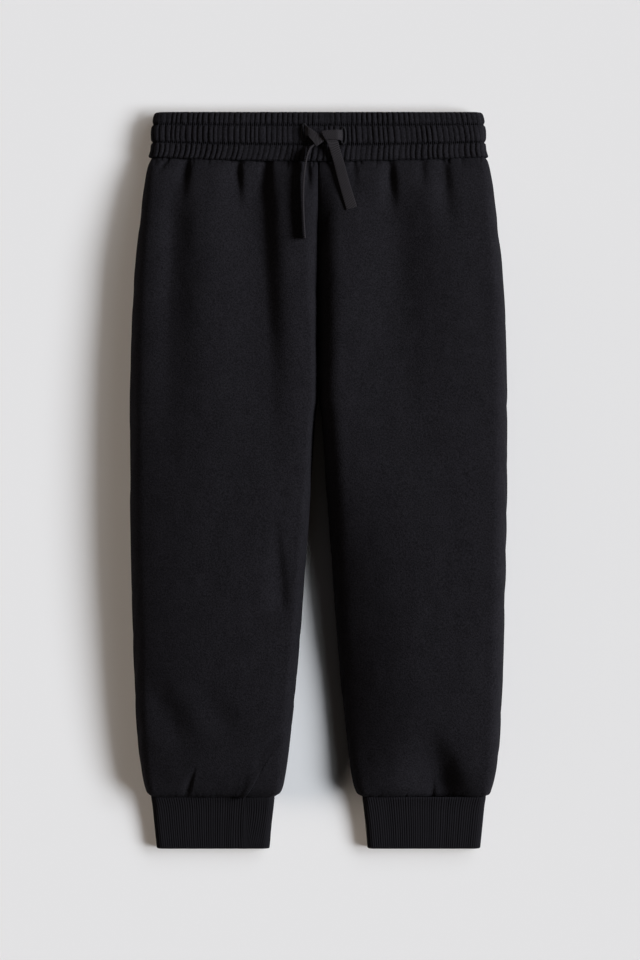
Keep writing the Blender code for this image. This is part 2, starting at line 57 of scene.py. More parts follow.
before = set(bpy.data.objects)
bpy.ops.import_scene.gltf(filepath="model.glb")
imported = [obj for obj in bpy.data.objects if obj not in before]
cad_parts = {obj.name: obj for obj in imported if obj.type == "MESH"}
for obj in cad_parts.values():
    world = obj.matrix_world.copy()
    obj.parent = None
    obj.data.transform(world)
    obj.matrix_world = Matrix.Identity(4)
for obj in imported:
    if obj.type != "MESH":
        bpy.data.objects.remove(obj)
CAD_BOX = [list(corner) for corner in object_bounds()]

MM = 0.001
WAIST_EDGE = CAD_BOX[1][1] / MM
LENGTH = (CAD_BOX[1][1] - CAD_BOX[0][1]) / MM
QUARTER = math.pi / 2

SEAM_GAP = 0.1
INSEAM_GAP = 0.06
BAND_DEPTH = 33.3
BAND_SAG = 3.3
SAG_END = 90.0
CROTCH = 211.0
HEM = 501.5
BACK_RISE = 45.0  # how far above the crotch the back starts to rise to the inseam
RIM_TURN = (55.0, 18.0)  # and where the rim at a panel's inner end turns level


# ---------------------------------------------------------------- the garment's own tables
def table(names, *rows):
    """A table's columns as arrays, by their names."""
    return dict(zip(names.split(), np.array(rows, float).T))


# Cross-sections of one half: "outer" and "inner" are the distances from the centre line to the
# side and the inner leg, "loft" the height of the crown, "edge" that of the side seam, "cleft"
# that of the front's inner end, and "steep" how upright the inner wall is.
SECTIONS = table(
    "down outer inner loft edge cleft steep",
    (33.6, 123.4, 0.15, 17, 7.5, 15.2, 0),
    (40, 125.3, 0.15, 20, 8, 17.2, 0),
    (53.5, 127.8, 0.15, 24.5, 8.8, 18.4, 0.05),
    (75, 130.6, 0.15, 29, 9.5, 18.8, 0.15),
    (108, 134.2, 0.15, 34, 10.3, 18, 0.3),
    (150, 136.8, 0.15, 37, 11, 15.8, 0.6),
    (185, 137.8, 0.15, 38.8, 11, 13, 0.9),
    (CROTCH, 138.2, 0.15, 39.5, 11, 11, 1),
    (222, 138.2, 1.6, 39.8, 11, 11, 1),
    (270, 138.2, 5, 40, 11, 11, 1),
    (330, 137.2, 9.2, 39.5, 11, 11, 1),
    (387, 136, 13.5, 38, 10.8, 10.8, 1),
    (438, 134, 18.2, 35, 10.4, 10.4, 1),
    (470, 131.8, 21.8, 31, 9.8, 9.8, 1),
    (487, 129.2, 24.4, 27.5, 9, 9, 1),
    (496, 127, 26.5, 23.5, 8, 8, 1),
    (500, 125.2, 28.9, 19.6, 7.6, 7.6, 1),
    (HEM, 123.2, 31.6, 16.4, 7.4, 7.4, 1),
)

# How each half rounds off: where its crown is, as a share of the width from the inner side, the
# width of its rounded outer and inner side, and the height that the shallow dome between them
# still climbs from the top of that side to the crown. The left half's crown moves outwards down
# the leg, and the right half lies higher on its inner side.
SIDE_COLUMNS = "down crown outer_reach outer_dome inner_reach inner_dome"
LEFT_SIDES = table(
    SIDE_COLUMNS,
    (33.6, 0.5, 6.5, 1, 5.5, 0.6),
    (53.5, 0.5, 9, 2, 13, 1.6),
    (108, 0.46, 10.5, 3, 16, 2),
    (185, 0.42, 11.5, 3, 17, 1.5),
    (CROTCH, 0.42, 12, 3, 17, 1.5),
    (245, 0.45, 12, 3, 17, 2),
    (270, 0.52, 12, 2.5, 17, 5),
    (300, 0.6, 12, 2, 16, 12),
    (330, 0.65, 12, 2, 15, 17.5),
    (387, 0.69, 11.5, 2, 14, 22),
    (438, 0.71, 11, 2, 12, 21.5),
    (470, 0.69, 10, 2, 11, 16.5),
    (487, 0.65, 9, 1.5, 10, 11),
    (500, 0.58, 6.5, 1, 7, 3),
    (HEM, 0.58, 5.5, 1, 5.5, 2),
)
RIGHT_SIDES = table(
    SIDE_COLUMNS,
    (33.6, 0.42, 6.5, 1, 5.5, 0.6),
    (53.5, 0.42, 9, 3.5, 9, 2),
    (108, 0.42, 11, 8, 10, 4),
    (150, 0.42, 12, 10.5, 8, 5),
    (185, 0.42, 12, 11.5, 6.5, 5.5),
    (CROTCH, 0.42, 12, 12, 6.5, 5.5),
    (270, 0.42, 12, 12, 7, 5),
    (387, 0.42, 12, 12, 8, 3.5),
    (438, 0.42, 11, 10.5, 8.5, 3.5),
    (470, 0.42, 10, 8.5, 8, 3),
    (487, 0.42, 8.5, 5.5, 7, 2.5),
    (500, 0.42, 6.5, 1, 6, 1),
    (HEM, 0.42, 5.5, 1, 5.5, 1),
)
SQUARE = 2.4  # the power of the rounded sides' ellipse: 2 is round, more is squarer
DOME_POWER = 2.7  # and of the dome's fall from the crown

# Folds of the front: soft troughs from one point to another, with their half widths towards the
# right (-X) and the left (+X) side. A fold is deepest at "peak", a share of its length, narrower
# above that and wider below.
FOLDS = (
    # x_top, down_top, x_low, down_low, rightward, leftward, depth, peak
    (-94.4, 24, -101.5, 72, 6, 3.2, 4.2, 0.36),
    (-109, 31, -116.5, 45, 2.2, 1.6, 1.4, 0.45),
    (-104, 34, -111, 300, 9, 13, 6, 0.22),
    (-58.9, 24, -58.9, 80, 8, 3, 4.8, 0.34),
    (-37, 24, -39.5, 70, 6, 3.2, 4, 0.32),
    (-43, 22, -32, 315, 28, 8.5, 10, 0.16),
    (-8, 24, -7, 72, 3, 2.6, 3, 0.4),
    (26, 24, 26.5, 66, 4, 2.6, 1.3, 0.4),
    (52.1, 24, 53.5, 84, 6, 3.6, 4.8, 0.38),
    (55, 30, 61, 300, 25, 21, 6.4, 0.27),
    (75.5, 24, 76, 62, 5, 2.6, 1.5, 0.4),
    (91, 24, 95, 98, 6, 4.2, 3.2, 0.3),
    (-32, 284, -26, 372, 9, 5.5, 3, 0.8),
    (-88.5, 474, -97.5, 505, 4.5, 1.8, 2.4, 0.7),
    (-128, 405, -88, 480, 14, 14, 3.6, 0.5),
    (-88, 405, -62, 470, 13, 13, 2.6, 0.55),
    (80, 444, 94.5, 520, 21, 14, 10, 0.6),
    (95, 462, 93, 512, 8, 8, 1.8, 0.55),
    (84.3, 486, 82.6, 510, 3.4, 2.2, 2.2, 0.6),
)
FOLD_SPREAD = 0.8
# The shares of a front's width over which the folds set in, at the waist and on the leg.
FOLD_START, LEG_FOLD_START = (0.02, 0.2), (0.02, 0.22)

# The right inseam rolls forward over the lower leg: how far it has moved on to the front, as a
# share of the front's width.
INSEAM_ROLL = table("down share", (430.0, 0.0), (445.0, 0.06), (470.0, 0.20), (HEM, 0.31))

# Relief of the panels. The rumples have two layers: each one's share of the height, its pitch
# across and down, and its shift.
RUMPLES = ((1.0, 21, 38, 9), (0.45, 7, 11, 3))
# Creases on the panels' walls: depth, pitch and slant, the shares of the width between which they
# end, and the distances below the waist edge between which they set in.
CREASE, CREASE_PITCH, CREASE_SLANT = 0.8, 15, 26
CREASE_END, CREASE_START = (0.04, 0.15), (60.0, 90.0)
# Dips along the seams: depth and half width. The hem's depth wanders.
SIDE_DIP, SIDE_HALF, INSEAM_HALF = 0.2, 1.6, 1.8
WAIST_DIP, WAIST_HALF = 0.35, 1.2
HEM_DIP, HEM_HALF, HEM_WANDER, HEM_PITCH = 0.28, 1.1, 0.22, 8
# The ridge beside the rolled inseam: its height, its distance from the seam, its half widths
# towards the seam and away from it, and where it sets in.
RIDGE, RIDGE_OFF, RIDGE_HALVES, RIDGE_START = 1.9, 1.5, (1.2, 7.0), (478.0, 490.0)
# Depth, pitch, greatest length and first seed of the small gathers at the waist and the hem, the
# shortest as a share of the longest, and how far they bend and over what length.
WAIST_GATHERS = (1.25, 2.3, 10.0, 2)
HEM_GATHERS = (0.50, 1.8, 8.0, 6)
SHORTEST_GATHER, GATHER_BEND, BEND_PITCH = 0.35, 0.6, 7
# What is taken off a back's relief, which only cuts into the cloth, and the share of it that is
# left below a height, where the cloth lies on the floor.
BACK_SUNK, BACK_PRESSED, PRESSED_BELOW = 0.1, 0.5, 1.0

# Waistband channels: where each starts and ends below the waist edge, how far beyond those the
# lines lie that pinch its gathers, and how far the gathers lean at the right end of the band, at
# LEAN_MIDDLE of its width and at the left end, in gathers from top to bottom, towards the left.
CHANNELS = (
    (0, 9.2, 3, 0, 0.6, 0.1, -0.3),
    (9.2, 22.3, 0, 0, 0.15, 0.04, 0.3),
    (22.3, BAND_DEPTH, 0, 0.8, 0.25, -0.55, -0.35),
)
LEAN_MIDDLE = 0.36
BAND_ROWS = table(
    "down outer loft",
    (0, 119.1, 12.4),
    (4.4, 120.4, 13.6),
    (12.8, 121.8, 15.2),
    (18, 121.9, 16),
    (22.3, 121.7, 16.4),
    (28, 121.9, 16.9),
    (BAND_DEPTH, 123.8, 17.2),
)
BAND_CREST = 1.7
BAND_CORNER = 6.5
BAND_WALL = 3.0
GROOVE = 0.95  # half width of the groove along a sewn line
PLEAT_POWER = 0.36  # well below 1: a gather has a broad crest and a narrow valley
PUFF = 0.35  # how far a channel swells between its lines
PUFF_POWER = 0.7  # below 1: it swells soon and stays level
LINE_DEPTH, DIMPLE_DEPTH = 0.6, 1.5  # of a sewn line, and of a dimple between its stitches
PINCH = 0.7  # how much a sewn line flattens the gathers
UNDER_RELIEF = 0.6  # the share of the gathers that cuts into the underside
HANG_POWER = 1.3  # above 1: the band's sag grows faster towards its seam
HANG_TOP = 0.9  # the share of the loft from which it is whole
# What wanders round a tube: how far, how often in each half and its seed. The gathers also differ
# in size: on average, by how much, over how many of them, and between what limits.
GATHER_SPACING, GATHER_SLANT = (0.17, 31, 50), (0.16, 43, 51)
GATHER_SIZE, SIZE_WANDER, SIZE_PITCH, SIZE_SEED = 0.80, 0.45, 1.7, 60
SIZE_LIMITS = (0.2, 1.15)
# The shares of the loft between which a tube's upper face sets in, and how deep in its wall the
# relief is still whole.
BAND_UPPER, BAND_SKIN = (0.30, 0.62), 0.4
CUFF_UPPER, CUFF_SKIN = (0.25, 0.5), 0.3
# Where the gathers are pressed flat: x, half width and share at the knot, and the last two at
# each buttonhole.
KNOT_PATCH = (5.9, 3.6, 0.85)
HOLE_PATCH = (4.2, 0.8)

# The buttonholes: the x and the distance below the waist edge of each one's middle, their half
# width and half length, and the half width and height of the thread round them.
BUTTONHOLES = ((18.1, 17.9), (-10.4, 15.3))
BUTTONHOLE_HALF = (1.6, 5.9)
SATIN = (0.8, 0.65)
# The same thread's points along and round it, its number of ridges and their height as a share,
# and how deep it is sunk in the gathers.
SATIN_STEPS, SATIN_SIDES = 300, 12
SATIN_RIDGES, SATIN_RIDGE, SATIN_SUNK = 50, 0.10, 0.55

# Stitches: their pitch, length and radius, the points along and round one, and the band's sewn
# lines below the waist edge.
STITCH_PITCH = 1.46
STITCH_LENGTH = 1.15
STITCH_RADIUS = 0.27
STITCH_STEPS, STITCH_SIDES = 5, 6
STITCH_TAPER, STITCH_RISE, STITCH_BEND = 0.9, 0.7, 1.3  # the last two in radii
BAND_LINES = (9.2, 22.3, 32.5)

CUFF_ROWS = table(
    "down outer inner loft",
    (HEM + SEAM_GAP, 122.7, 32.3, 15.2),
    (508, 121.7, 33, 13),
    (522, 120.3, 34.6, 11.4),
    (LENGTH, 118.5, 36.1, 10.4),
)
CUFF_CORNER = 4.8
CUFF_WALL = 2.2
RIB_POWER = 0.6
RIB_HEIGHT, RIB_WANDER, RIB_SPACING = 0.27, (0.07, 41, 80), (0.12, 23, 70)
RIB_CUT = 0.7  # the share of the ribs that cuts into the underside
# The right cuff's closing seam: its x, and how the ribs bow away from it. To its left they have
# moved by BOW_TOP ribs at the top, which fades down the cuff, and by BOW_LOW at the bottom. To its
# right they have moved by up to one rib at the bottom, most at RIGHT_BOW from the seam.
CUFF_SEAM = -54.2
BOW_TOP, BOW_FADE, BOW_LOW, BOW_POWER, BOW_WIDTH = 1.6, 0.22, 2.2, 2.2, 5.0
RIGHT_BOW, RIGHT_BOW_POWER, RIGHT_BOW_HALF = -2.0, 2.5, 4.0
# The plain strip along it and its raised welt: the middle and half width at the top, and what the
# half width gains down to the edge. The welt's height gains too.
STRIP, STRIP_GAIN, STRIP_POWER = (0.5, 0.6), 1.6, 1.5
WELT, WELT_GAIN, WELT_HEIGHT, WELT_RISE = (0.3, 1.6), 1.8, 0.12, 0.30
CUFF_DIP = 0.18  # depth of the dip along the seam with the leg
CORNER_SHRINK = 0.6  # how much a tube's corner loses for each millimetre into its wall
UV_HALF_ROUND = 120.0  # width of a tube's UV map for half way round

# Rows and columns of the panels' meshes: where the close rows at the waist seam end and those at
# the hem start, the three spacings, and the columns of a rounded side and of the middle.
FRONT_MESH = ((78.0, 455.0, (1.4, 3.3, 1.1)), (24, 180))
BACK_MESH = ((70.0, 440.0, (2.2, 6.0, 1.8)), (18, 90))

# The drawstring's two stretches. A row gives the tape's two edges: "x", the distance "down"
# from the waist edge and the "lift" of the tape's middle above the cloth.
TAPE_WIDTH = 8.0
TAPE = 1.0  # thickness
TWILL_PITCH = 1.45
TAPE_POWERS = (0.55, 0.75)  # below 1: its section is squarer than an ellipse
SELVEDGE, SELVEDGE_POWER = 0.12, 6  # how much thicker it is at its edges, and how suddenly
TWILL_RIDGE, TWILL_REACH = 0.16, 0.9  # shares of its thickness and of its half width
TAPE_END = 3.0  # from the free end to the stitches across it
END_STEP = (0.4, 0.2)  # where it gets thicker, before and after those stitches
END_THICKER, END_PINCH, PINCH_HALF = 0.25, 0.35, 0.35
CLIMB = (3.0, 14.0)  # above and below the waist seam, where it climbs on to the fronts
TAPE_STEPS, TAPE_SIDES = 22, 44  # cross-sections from one row to the next, and points round them
TAPE_COLUMNS = "x_a down_a lift_a x_b down_b lift_b"
RIGHT_TAPE = table(
    TAPE_COLUMNS,
    (-9.3, 18.3, 0.85, -9.5, 10.6, 0.85),
    (-9, 18.3, 2.2, -9.1, 10.8, 2.4),
    (-7.7, 18.7, 4.4, -6.8, 12.5, 4.8),
    (-5.9, 20.9, 5, -2.2, 15.8, 5.2),
    (-3.8, 23.4, 5, 1.5, 18.3, 5),
    (-2.2, 25.6, 4.8, 3.9, 21.1, 4.8),
    (-1.7, 26.1, 4.1, 4.5, 21.5, 4.1),
    (-2.2, 25.7, 3.4, 3.9, 21.1, 3.4),
    (-3.9, 26.2, 3, 0.6, 22.4, 3.2),
    (-5.3, 27.3, 2, -4.3, 25.9, 5),
    (-6.5, 29.7, 1.2, -6.4, 28.2, 7),
    (-8, 33.4, 0.75, -8.2, 32.8, 8.2),
    (-9.1, 39.2, 0.75, -9.5, 38.8, 8.3),
    (-10.3, 49.8, 0.75, -10.8, 49.8, 8.3),
    (-10.8, 64.5, 0.75, -11.3, 64.5, 8.3),
    (-10.4, 79.1, 0.75, -10.9, 79.1, 8.2),
    (-9.6, 94.2, 0.75, -10, 94.2, 8),
)
LEFT_TAPE = table(
    TAPE_COLUMNS,
    (17.1, 14.3, 0.85, 17.1, 22, 0.85),
    (16.6, 14.3, 3.4, 16.6, 22, 3.4),
    (15, 14.4, 6.6, 15, 21.9, 6.6),
    (12.4, 14.5, 7.6, 12.8, 21.8, 7.6),
    (8.1, 14.7, 7.6, 9.9, 21.8, 7.6),
    (3.7, 15.2, 7.6, 7, 21.6, 7.6),
    (2.2, 15.7, 7.5, 5.7, 21.8, 7.5),
    (1.7, 16, 6.85, 5.3, 22.1, 6.85),
    (2.2, 16.3, 6.2, 5.7, 22.3, 6.2),
    (7, 17.6, 6.1, 6.4, 24.2, 6),
    (11.6, 20.1, 5.6, 7.3, 26.4, 5.4),
    (14.3, 23.1, 4.8, 8.1, 28.4, 4.6),
    (15.4, 27.1, 4, 8.9, 31.3, 3.8),
    (17, 32.2, 3.2, 10.1, 35, 3),
    (19, 38.8, 2.5, 11.5, 40.3, 2.4),
    (21, 46.9, 2.1, 13.6, 48.9, 2.1),
    (23.5, 55.7, 1.8, 16, 57.9, 1.8),
    (25.9, 63.7, 1.6, 18.3, 66.1, 1.6),
    (28, 70.7, 1.4, 20.3, 73.2, 1.4),
)

# Finishes: the colour's setting, the pattern with its values, how far it lightens and darkens the
# colour, the strength and height in millimetres of its relief, sheen and roughness.
FINISHES = {
    "Fleece": ("fleece", "Nap", {}, 0.42, (0.9, 0.5), 0.015, 0.95),
    "Rib knit": ("rib", "Nap", {"Fibre": 1500.0}, 0.16, (0.35, 0.2), 0.01, 0.9),
    # The tape's tone follows its twill ridges: painted highlight on their crests and painted shade
    # in their grooves, with some random thread tone.
    "Tape": ("tape", "Twill", {}, 0.75, (0.8, 0.3), 0.03, 0.75),
    # The stitches' thread is darker than the fleece: painted shade along the waistband's sewn
    # lines.
    "Thread": ("thread", "Nap", {"Fibre": 2500.0}, 0.2, (0.3, 0.1), 0.02, 0.7),
    # The buttonholes' thread is lighter than the stitches' thread of the same kind: a painted
    # sheen.
    "Satin thread": ("satin", "Nap", {"Fibre": 2500.0}, 0.2, (0.3, 0.1), 0.05, 0.5),
}
SPECULAR = 0.06
SHEEN_ROUGHNESS, SHEEN_TINT = 0.45, (0.85, 0.82, 1.0, 1.0)

# The picture: 640 by 960 pixels, with the garment's centre line and middle at these ones. In
# metres: how high the garment is at its outline, how far the floor reaches and how low it lies.
IMAGE_WIDTH, IMAGE_HEIGHT = 640, 960
CENTRE_LINE, CENTRE_ROW = 318.5, 480.5
PIXEL = LENGTH / 737.0  # millimetres for one pixel
OUTLINE_HEIGHT = 0.011
FLOOR_REACH, FLOOR_DROP = 4.0, 0.0002

# Lights, in degrees: how wide the source looks, its height above the floor, and its turn from +X
# towards +Y. The floor's key is split, and each part starts with its share.
FLOOR_KEYS = ((0.58, 23.0, 33.2, -11.0), (0.31, 23.0, 33.2, 15.0), (0.11, 25.0, 32.0, 50.0))
CLOTH_KEY = (24.0, 34.0, 10.0)
FLOOR_FILL = (26.0, 18.0, 172.0)
CLOTH_FILL = (90.0, 50.0, 180.0)
KEY_DISTANCE = 3.0  # metres from the middle of the garment to the cloth's key light
COOL = (0.957, 0.993, 1.045)
WARM = (1.16, 1.0, 0.86)

PIECES = (
    "tape_left",
    "tape_right",
    "front_panel_left",
    "front_panel_right",
    "back_panel_left",
    "back_panel_right",
    "elastic_waistband",
    "rib_cuff_left",
    "rib_cuff_right",
    "band_stitches",
    "buttonholes",
)


# ---------------------------------------------------------------- settings
def length_setting(name, text, value, least=0.0):
    """A length that a user may change."""
    return FloatProperty(name=name, description=text, default=value, min=least, unit="LENGTH")


def count_setting(name, text, value):
    """A number of gathers or ribs."""
    return IntProperty(name=name, description=text, default=value, min=10)


def colour_setting(name, text, value):
    """A base colour."""
    return FloatVectorProperty(
        name=name, description=text, subtype="COLOR", default=value, min=0.0, max=1.0
    )


def strength_setting(name, text, value):
    """A light's strength."""
    return FloatProperty(name=name, description="Strength of the " + text, default=value)


class ClothSettings(bpy.types.PropertyGroup):
    """Sizes of the cloth that a user may change."""

    wall: length_setting("Fleece", "Thickness of the fleece", 2.2 * MM, 0.5 * MM)
    gathers: count_setting("Waist gathers", "Gathers across the front of each channel", 64)
    ribs: count_setting("Cuff ribs", "Ribs across the front of each cuff", 56)
    rumple: length_setting("Rumple", "Height of the soft unevenness of the fleece", 0.30 * MM)


class ColourSettings(bpy.types.PropertyGroup):
    """Colours of the cloth, the thread and the backdrop."""

    fleece: colour_setting("Fleece", "Colour of the fleece", (0.0125, 0.0116, 0.0139))
    rib: colour_setting("Rib", "Colour of the rib cloth", (0.0107, 0.0100, 0.0119))
    tape: colour_setting("Drawstring", "Colour of the tape", (0.0280, 0.0252, 0.0275))
    # Darker than the fleece: painted shade along the waistband's sewn lines.
    thread: colour_setting("Thread", "Colour of the stitches", (0.0040, 0.0037, 0.0044))
    # Lighter than the stitches' thread: a painted sheen on the buttonholes' edges.
    satin: colour_setting("Buttonholes", "Colour of their thread", (0.018, 0.017, 0.019))
    backdrop: colour_setting("Backdrop", "Colour of the floor", (0.80, 0.80, 0.80))


class StageSettings(bpy.types.PropertyGroup):
    """Light and camera."""

    floor_key: strength_setting("Floor key", "key light on the floor", 4.38)
    cloth_key: strength_setting("Cloth key", "key light on the cloth", 4.1)
    floor_fill: strength_setting("Floor fill", "low light in the shadow", 1.85)
    cloth_fill: strength_setting("Cloth fill", "soft light on the cloth", 0.30)
    room: strength_setting("Room", "light from all round", 0.014)
    camera_height: length_setting("Camera height", "Height of the camera", 2.4)


# ---------------------------------------------------------------- numbers
def smooth(at, knots, values):
    """Values read from a smooth curve through a table's rows: a cubic Hermite whose slope at
    each row is the mean of its neighbours' slopes, held flat where they change sign."""
    steps = np.diff(knots)
    rises = np.diff(values) / steps
    slopes = np.concatenate([[rises[0]], (rises[:-1] + rises[1:]) / 2, [rises[-1]]])
    turning = np.concatenate([[False], rises[:-1] * rises[1:] <= 0, [False]])
    slopes[turning] = 0.0
    at = np.clip(at, knots[0], knots[-1])
    i = np.clip(np.searchsorted(knots, at, side="right") - 1, 0, len(steps) - 1)
    t = (at - knots[i]) / steps[i]
    return (
        values[i] * (2 * t**3 - 3 * t**2 + 1)
        + values[i + 1] * (3 * t**2 - 2 * t**3)
        + slopes[i] * steps[i] * (t**3 - 2 * t**2 + t)
        + slopes[i + 1] * steps[i] * (t**3 - t**2)
    )


def read(rows, name, down):
    """One column of a table, read at distances below the waist edge."""
    return smooth(down, rows["down"], rows[name])


def read_all(rows, down):
    """Every column of a table after the first, read at distances below the waist edge."""
    return [read(rows, name, down) for name in list(rows)[1:]]


def clamp(values):
    """Values held between 0 and 1."""
    return np.clip(values, 0.0, 1.0)


def ease(t):
    """A smooth step, from 0 at 0 to 1 at 1."""
    return t * t * (3 - 2 * t)


def fade(at, start, end):
    """0 before start, 1 after end, and a smooth step between them."""
    return ease(clamp((at - start) / (end - start)))


def bell(at, middle, half):
    """A bell curve of height 1: e to the power of minus the squared distance in half widths."""
    return np.exp(-(((at - middle) / half) ** 2))


def unit(vectors):
    """Vectors scaled to length 1."""
    return vectors / np.linalg.norm(vectors, axis=-1, keepdims=True)


def wander(at, seed):
    """Smooth random numbers from -1 to 1: seeded values at whole numbers, joined by smooth
    steps."""
    values = np.random.default_rng(seed).uniform(-1.0, 1.0, 1024)
    low = np.floor(at).astype(int)
    t = ease(at - low)
    return values[low % 1024] * (1 - t) + values[(low + 1) % 1024] * t


def rumples(x, y, seed):
    """Smooth random heights from -1 to 1 over a plane: seeded values on a square lattice,
    joined by smooth steps along both axes."""
    size = 64
    values = np.random.default_rng(seed).uniform(-1.0, 1.0, (size, size))
    i, j = np.floor(x).astype(int), np.floor(y).astype(int)
    s, t = ease(x - i), ease(y - j)
    near, far = (
        values[i % size, k % size] * (1 - s) + values[(i + 1) % size, k % size] * s
        for k in (j, j + 1)
    )
    return near * (1 - t) + far * t


# ---------------------------------------------------------------- the two surfaces of a half
ROLL_SHARE = 4 / 24  # share of a panel's width given to each rounded side


def sag(x, down):
    """How much lower the front hangs at this x: a parabola across the waist seam that fades out
    below it."""
    across = clamp(1 - (x / SECTIONS["outer"][0]) ** 2)
    return BAND_SAG * across * (1 - fade(down, BAND_DEPTH, SAG_END))


def fold_drop(x, down):
    """How far the folds lower the front at a point: a sum of bell-shaped troughs, each along
    its own line, steeper on one side, that rise from nothing at both ends."""
    drop = np.zeros(np.broadcast(x, down).shape)
    for x_top, down_top, x_low, down_low, rightward, leftward, depth, peak in FOLDS:
        along = (down - down_top) / (down_low - down_top)
        line = x_top + (x_low - x_top) * along
        swell = fade(along, 0.0, peak) * (1 - fade(along, peak, 1.0))
        spread = 1 + FOLD_SPREAD * (clamp(along) - peak)
        half = np.where(x < line, rightward, leftward) * spread
        drop += depth * swell * bell(x, line, half)
    return drop


def rounded(share):
    """A quarter of a squarish ellipse, from upright at 0 to level at 1: how far it has come in
    and up. Each is a power of the angle's cosine or sine."""
    angle = QUARTER * clamp(share)
    return 1 - np.cos(angle) ** (2 / SQUARE), np.sin(angle) ** (2 / SQUARE)


def half_width(across, outer, inner, out_turn, in_turn, out_reach, in_reach):
    """The distance from the centre line over a panel: in from the side seam by out_turn, evenly
    over the middle, and out from the inner end by in_turn. The turns end at their reaches."""
    middle = clamp((across - ROLL_SHARE) / (1 - 2 * ROLL_SHARE))
    even = outer - out_reach - (outer - inner - out_reach - in_reach) * middle
    rest = np.where(across > 1 - ROLL_SHARE, inner + in_turn, even)
    return np.where(across < ROLL_SHARE, outer - out_turn, rest)


def front_points(down, across, side):
    """Points of the front's outer face. "across" runs from 0 at the side seam to 1 at the inner
    end. The section is two rounded sides with a shallow dome over them, and its inner wall
    turns from a soft slope at the waist to upright at the leg. The folds stop short of the side
    seam and, on the leg, of the inseam."""
    outer, inner, loft, edge, cleft, steep = read_all(SECTIONS, down)
    crown_share, out_reach, out_dome, in_reach, in_dome = read_all(
        LEFT_SIDES if side > 0 else RIGHT_SIDES, down
    )
    in_share = (1 - across) / ROLL_SHARE
    out_in, out_up = rounded(across / ROLL_SHARE)
    in_in, in_up = rounded(in_share)
    slide = in_reach * (steep * in_in + (1 - steep) * clamp(in_share))
    x = half_width(across, outer, inner, out_reach * out_in, slide, out_reach, in_reach)
    crown = inner + (outer - inner) * crown_share
    beyond = x > crown
    off = np.where(beyond, (x - crown) / (outer - crown), (crown - x) / (crown - inner))
    dome = np.where(beyond, out_dome, in_dome)
    end = np.where(beyond, edge, cleft) + SEAM_GAP / 2
    turned = np.where(beyond, out_up, in_up)
    z = end + (loft - end - dome) * turned + dome * (1 - clamp(off) ** DOME_POWER)
    x = side * x
    on_leg = fade(np.minimum(across, 1 - across), *LEG_FOLD_START)
    z = z - fold_drop(x, down) * np.where(down < CROTCH, fade(across, *FOLD_START), on_leg)
    return x, down + sag(x, down), z


def back_points(down, across, side):
    """Points of the back's outer face: a quarter circle down from the side seam to the surface,
    flat, and up again to the inseam on the leg."""
    outer, inner, _, edge, *_ = read_all(SECTIONS, down)
    edge = edge - SEAM_GAP / 2
    rise = fade(down, CROTCH - BACK_RISE, CROTCH)
    out_angle = QUARTER * clamp(across / ROLL_SHARE)
    in_angle = QUARTER * clamp((1 - across) / ROLL_SHARE)
    out_turn = edge * (1 - np.cos(out_angle))
    in_turn = edge * (rise * (1 - np.cos(in_angle)) + (1 - rise) * in_angle / QUARTER)
    x = half_width(across, outer, inner, out_turn, in_turn, edge, edge)
    z = edge * (1 - np.sin(out_angle)) + rise * edge * (1 - np.sin(in_angle))
    return side * x, down + 0.0 * x, z


def panel_width(down):
    """The width of a panel from its side seam to its inner end."""
    return read(SECTIONS, "outer", down) - read(SECTIONS, "inner", down)


def inseam_share(down, side):
    """How far the inseam has rolled on to the front, as a share of its width."""
    rolled = (side < 0) & (down > INSEAM_ROLL["down"][0])
    return np.where(rolled, read(INSEAM_ROLL, "share", down), 0.0)


def seam_allowance(down, side):
    """Half the gap at a rolled inseam, as a share of the front's width."""
    return np.where(inseam_share(down, side) > 0, INSEAM_GAP / 2 / panel_width(down), 0.0)


def front_panel(down, across, side):
    """Points of the front panel: the front face as far as the inseam."""
    reach = 1 - inseam_share(down, side) - seam_allowance(down, side)
    return front_points(down, across * reach, side)


def back_panel(down, across, side):
    """Points of the back panel: the back face and, where the inseam has rolled forward, on
    round the inner leg to it."""
    along = across * (1 + inseam_share(down, side) - seam_allowance(down, side))
    under = back_points(down, np.minimum(along, 1.0), side)
    over = front_points(down, clamp(2 - along), side)
    return tuple(np.where(along > 1, b, a) for a, b in zip(under, over))


# ---------------------------------------------------------------- meshes
def place(x, down, z):
    """Millimetres across, below the waist edge and above the surface, as scene points."""
    x, down, z = np.broadcast_arrays(x, down, z)
    return np.stack([x, WAIST_EDGE - down, z], axis=-1) * MM


def grid_faces(rows, columns, closed_rows=False, closed_columns=False):
    """Quads over a grid of points, wrapping round where it is closed."""
    row = np.arange(rows if closed_rows else rows - 1)[:, None]
    col = np.arange(columns if closed_columns else columns - 1)[None, :]
    below, beside = (row + 1) % rows, (col + 1) % columns
    quads = [row * columns + col, row * columns + beside]
    quads += [below * columns + beside, below * columns + col]
    return np.stack(np.broadcast_arrays(*quads), axis=-1).reshape(-1, 4)


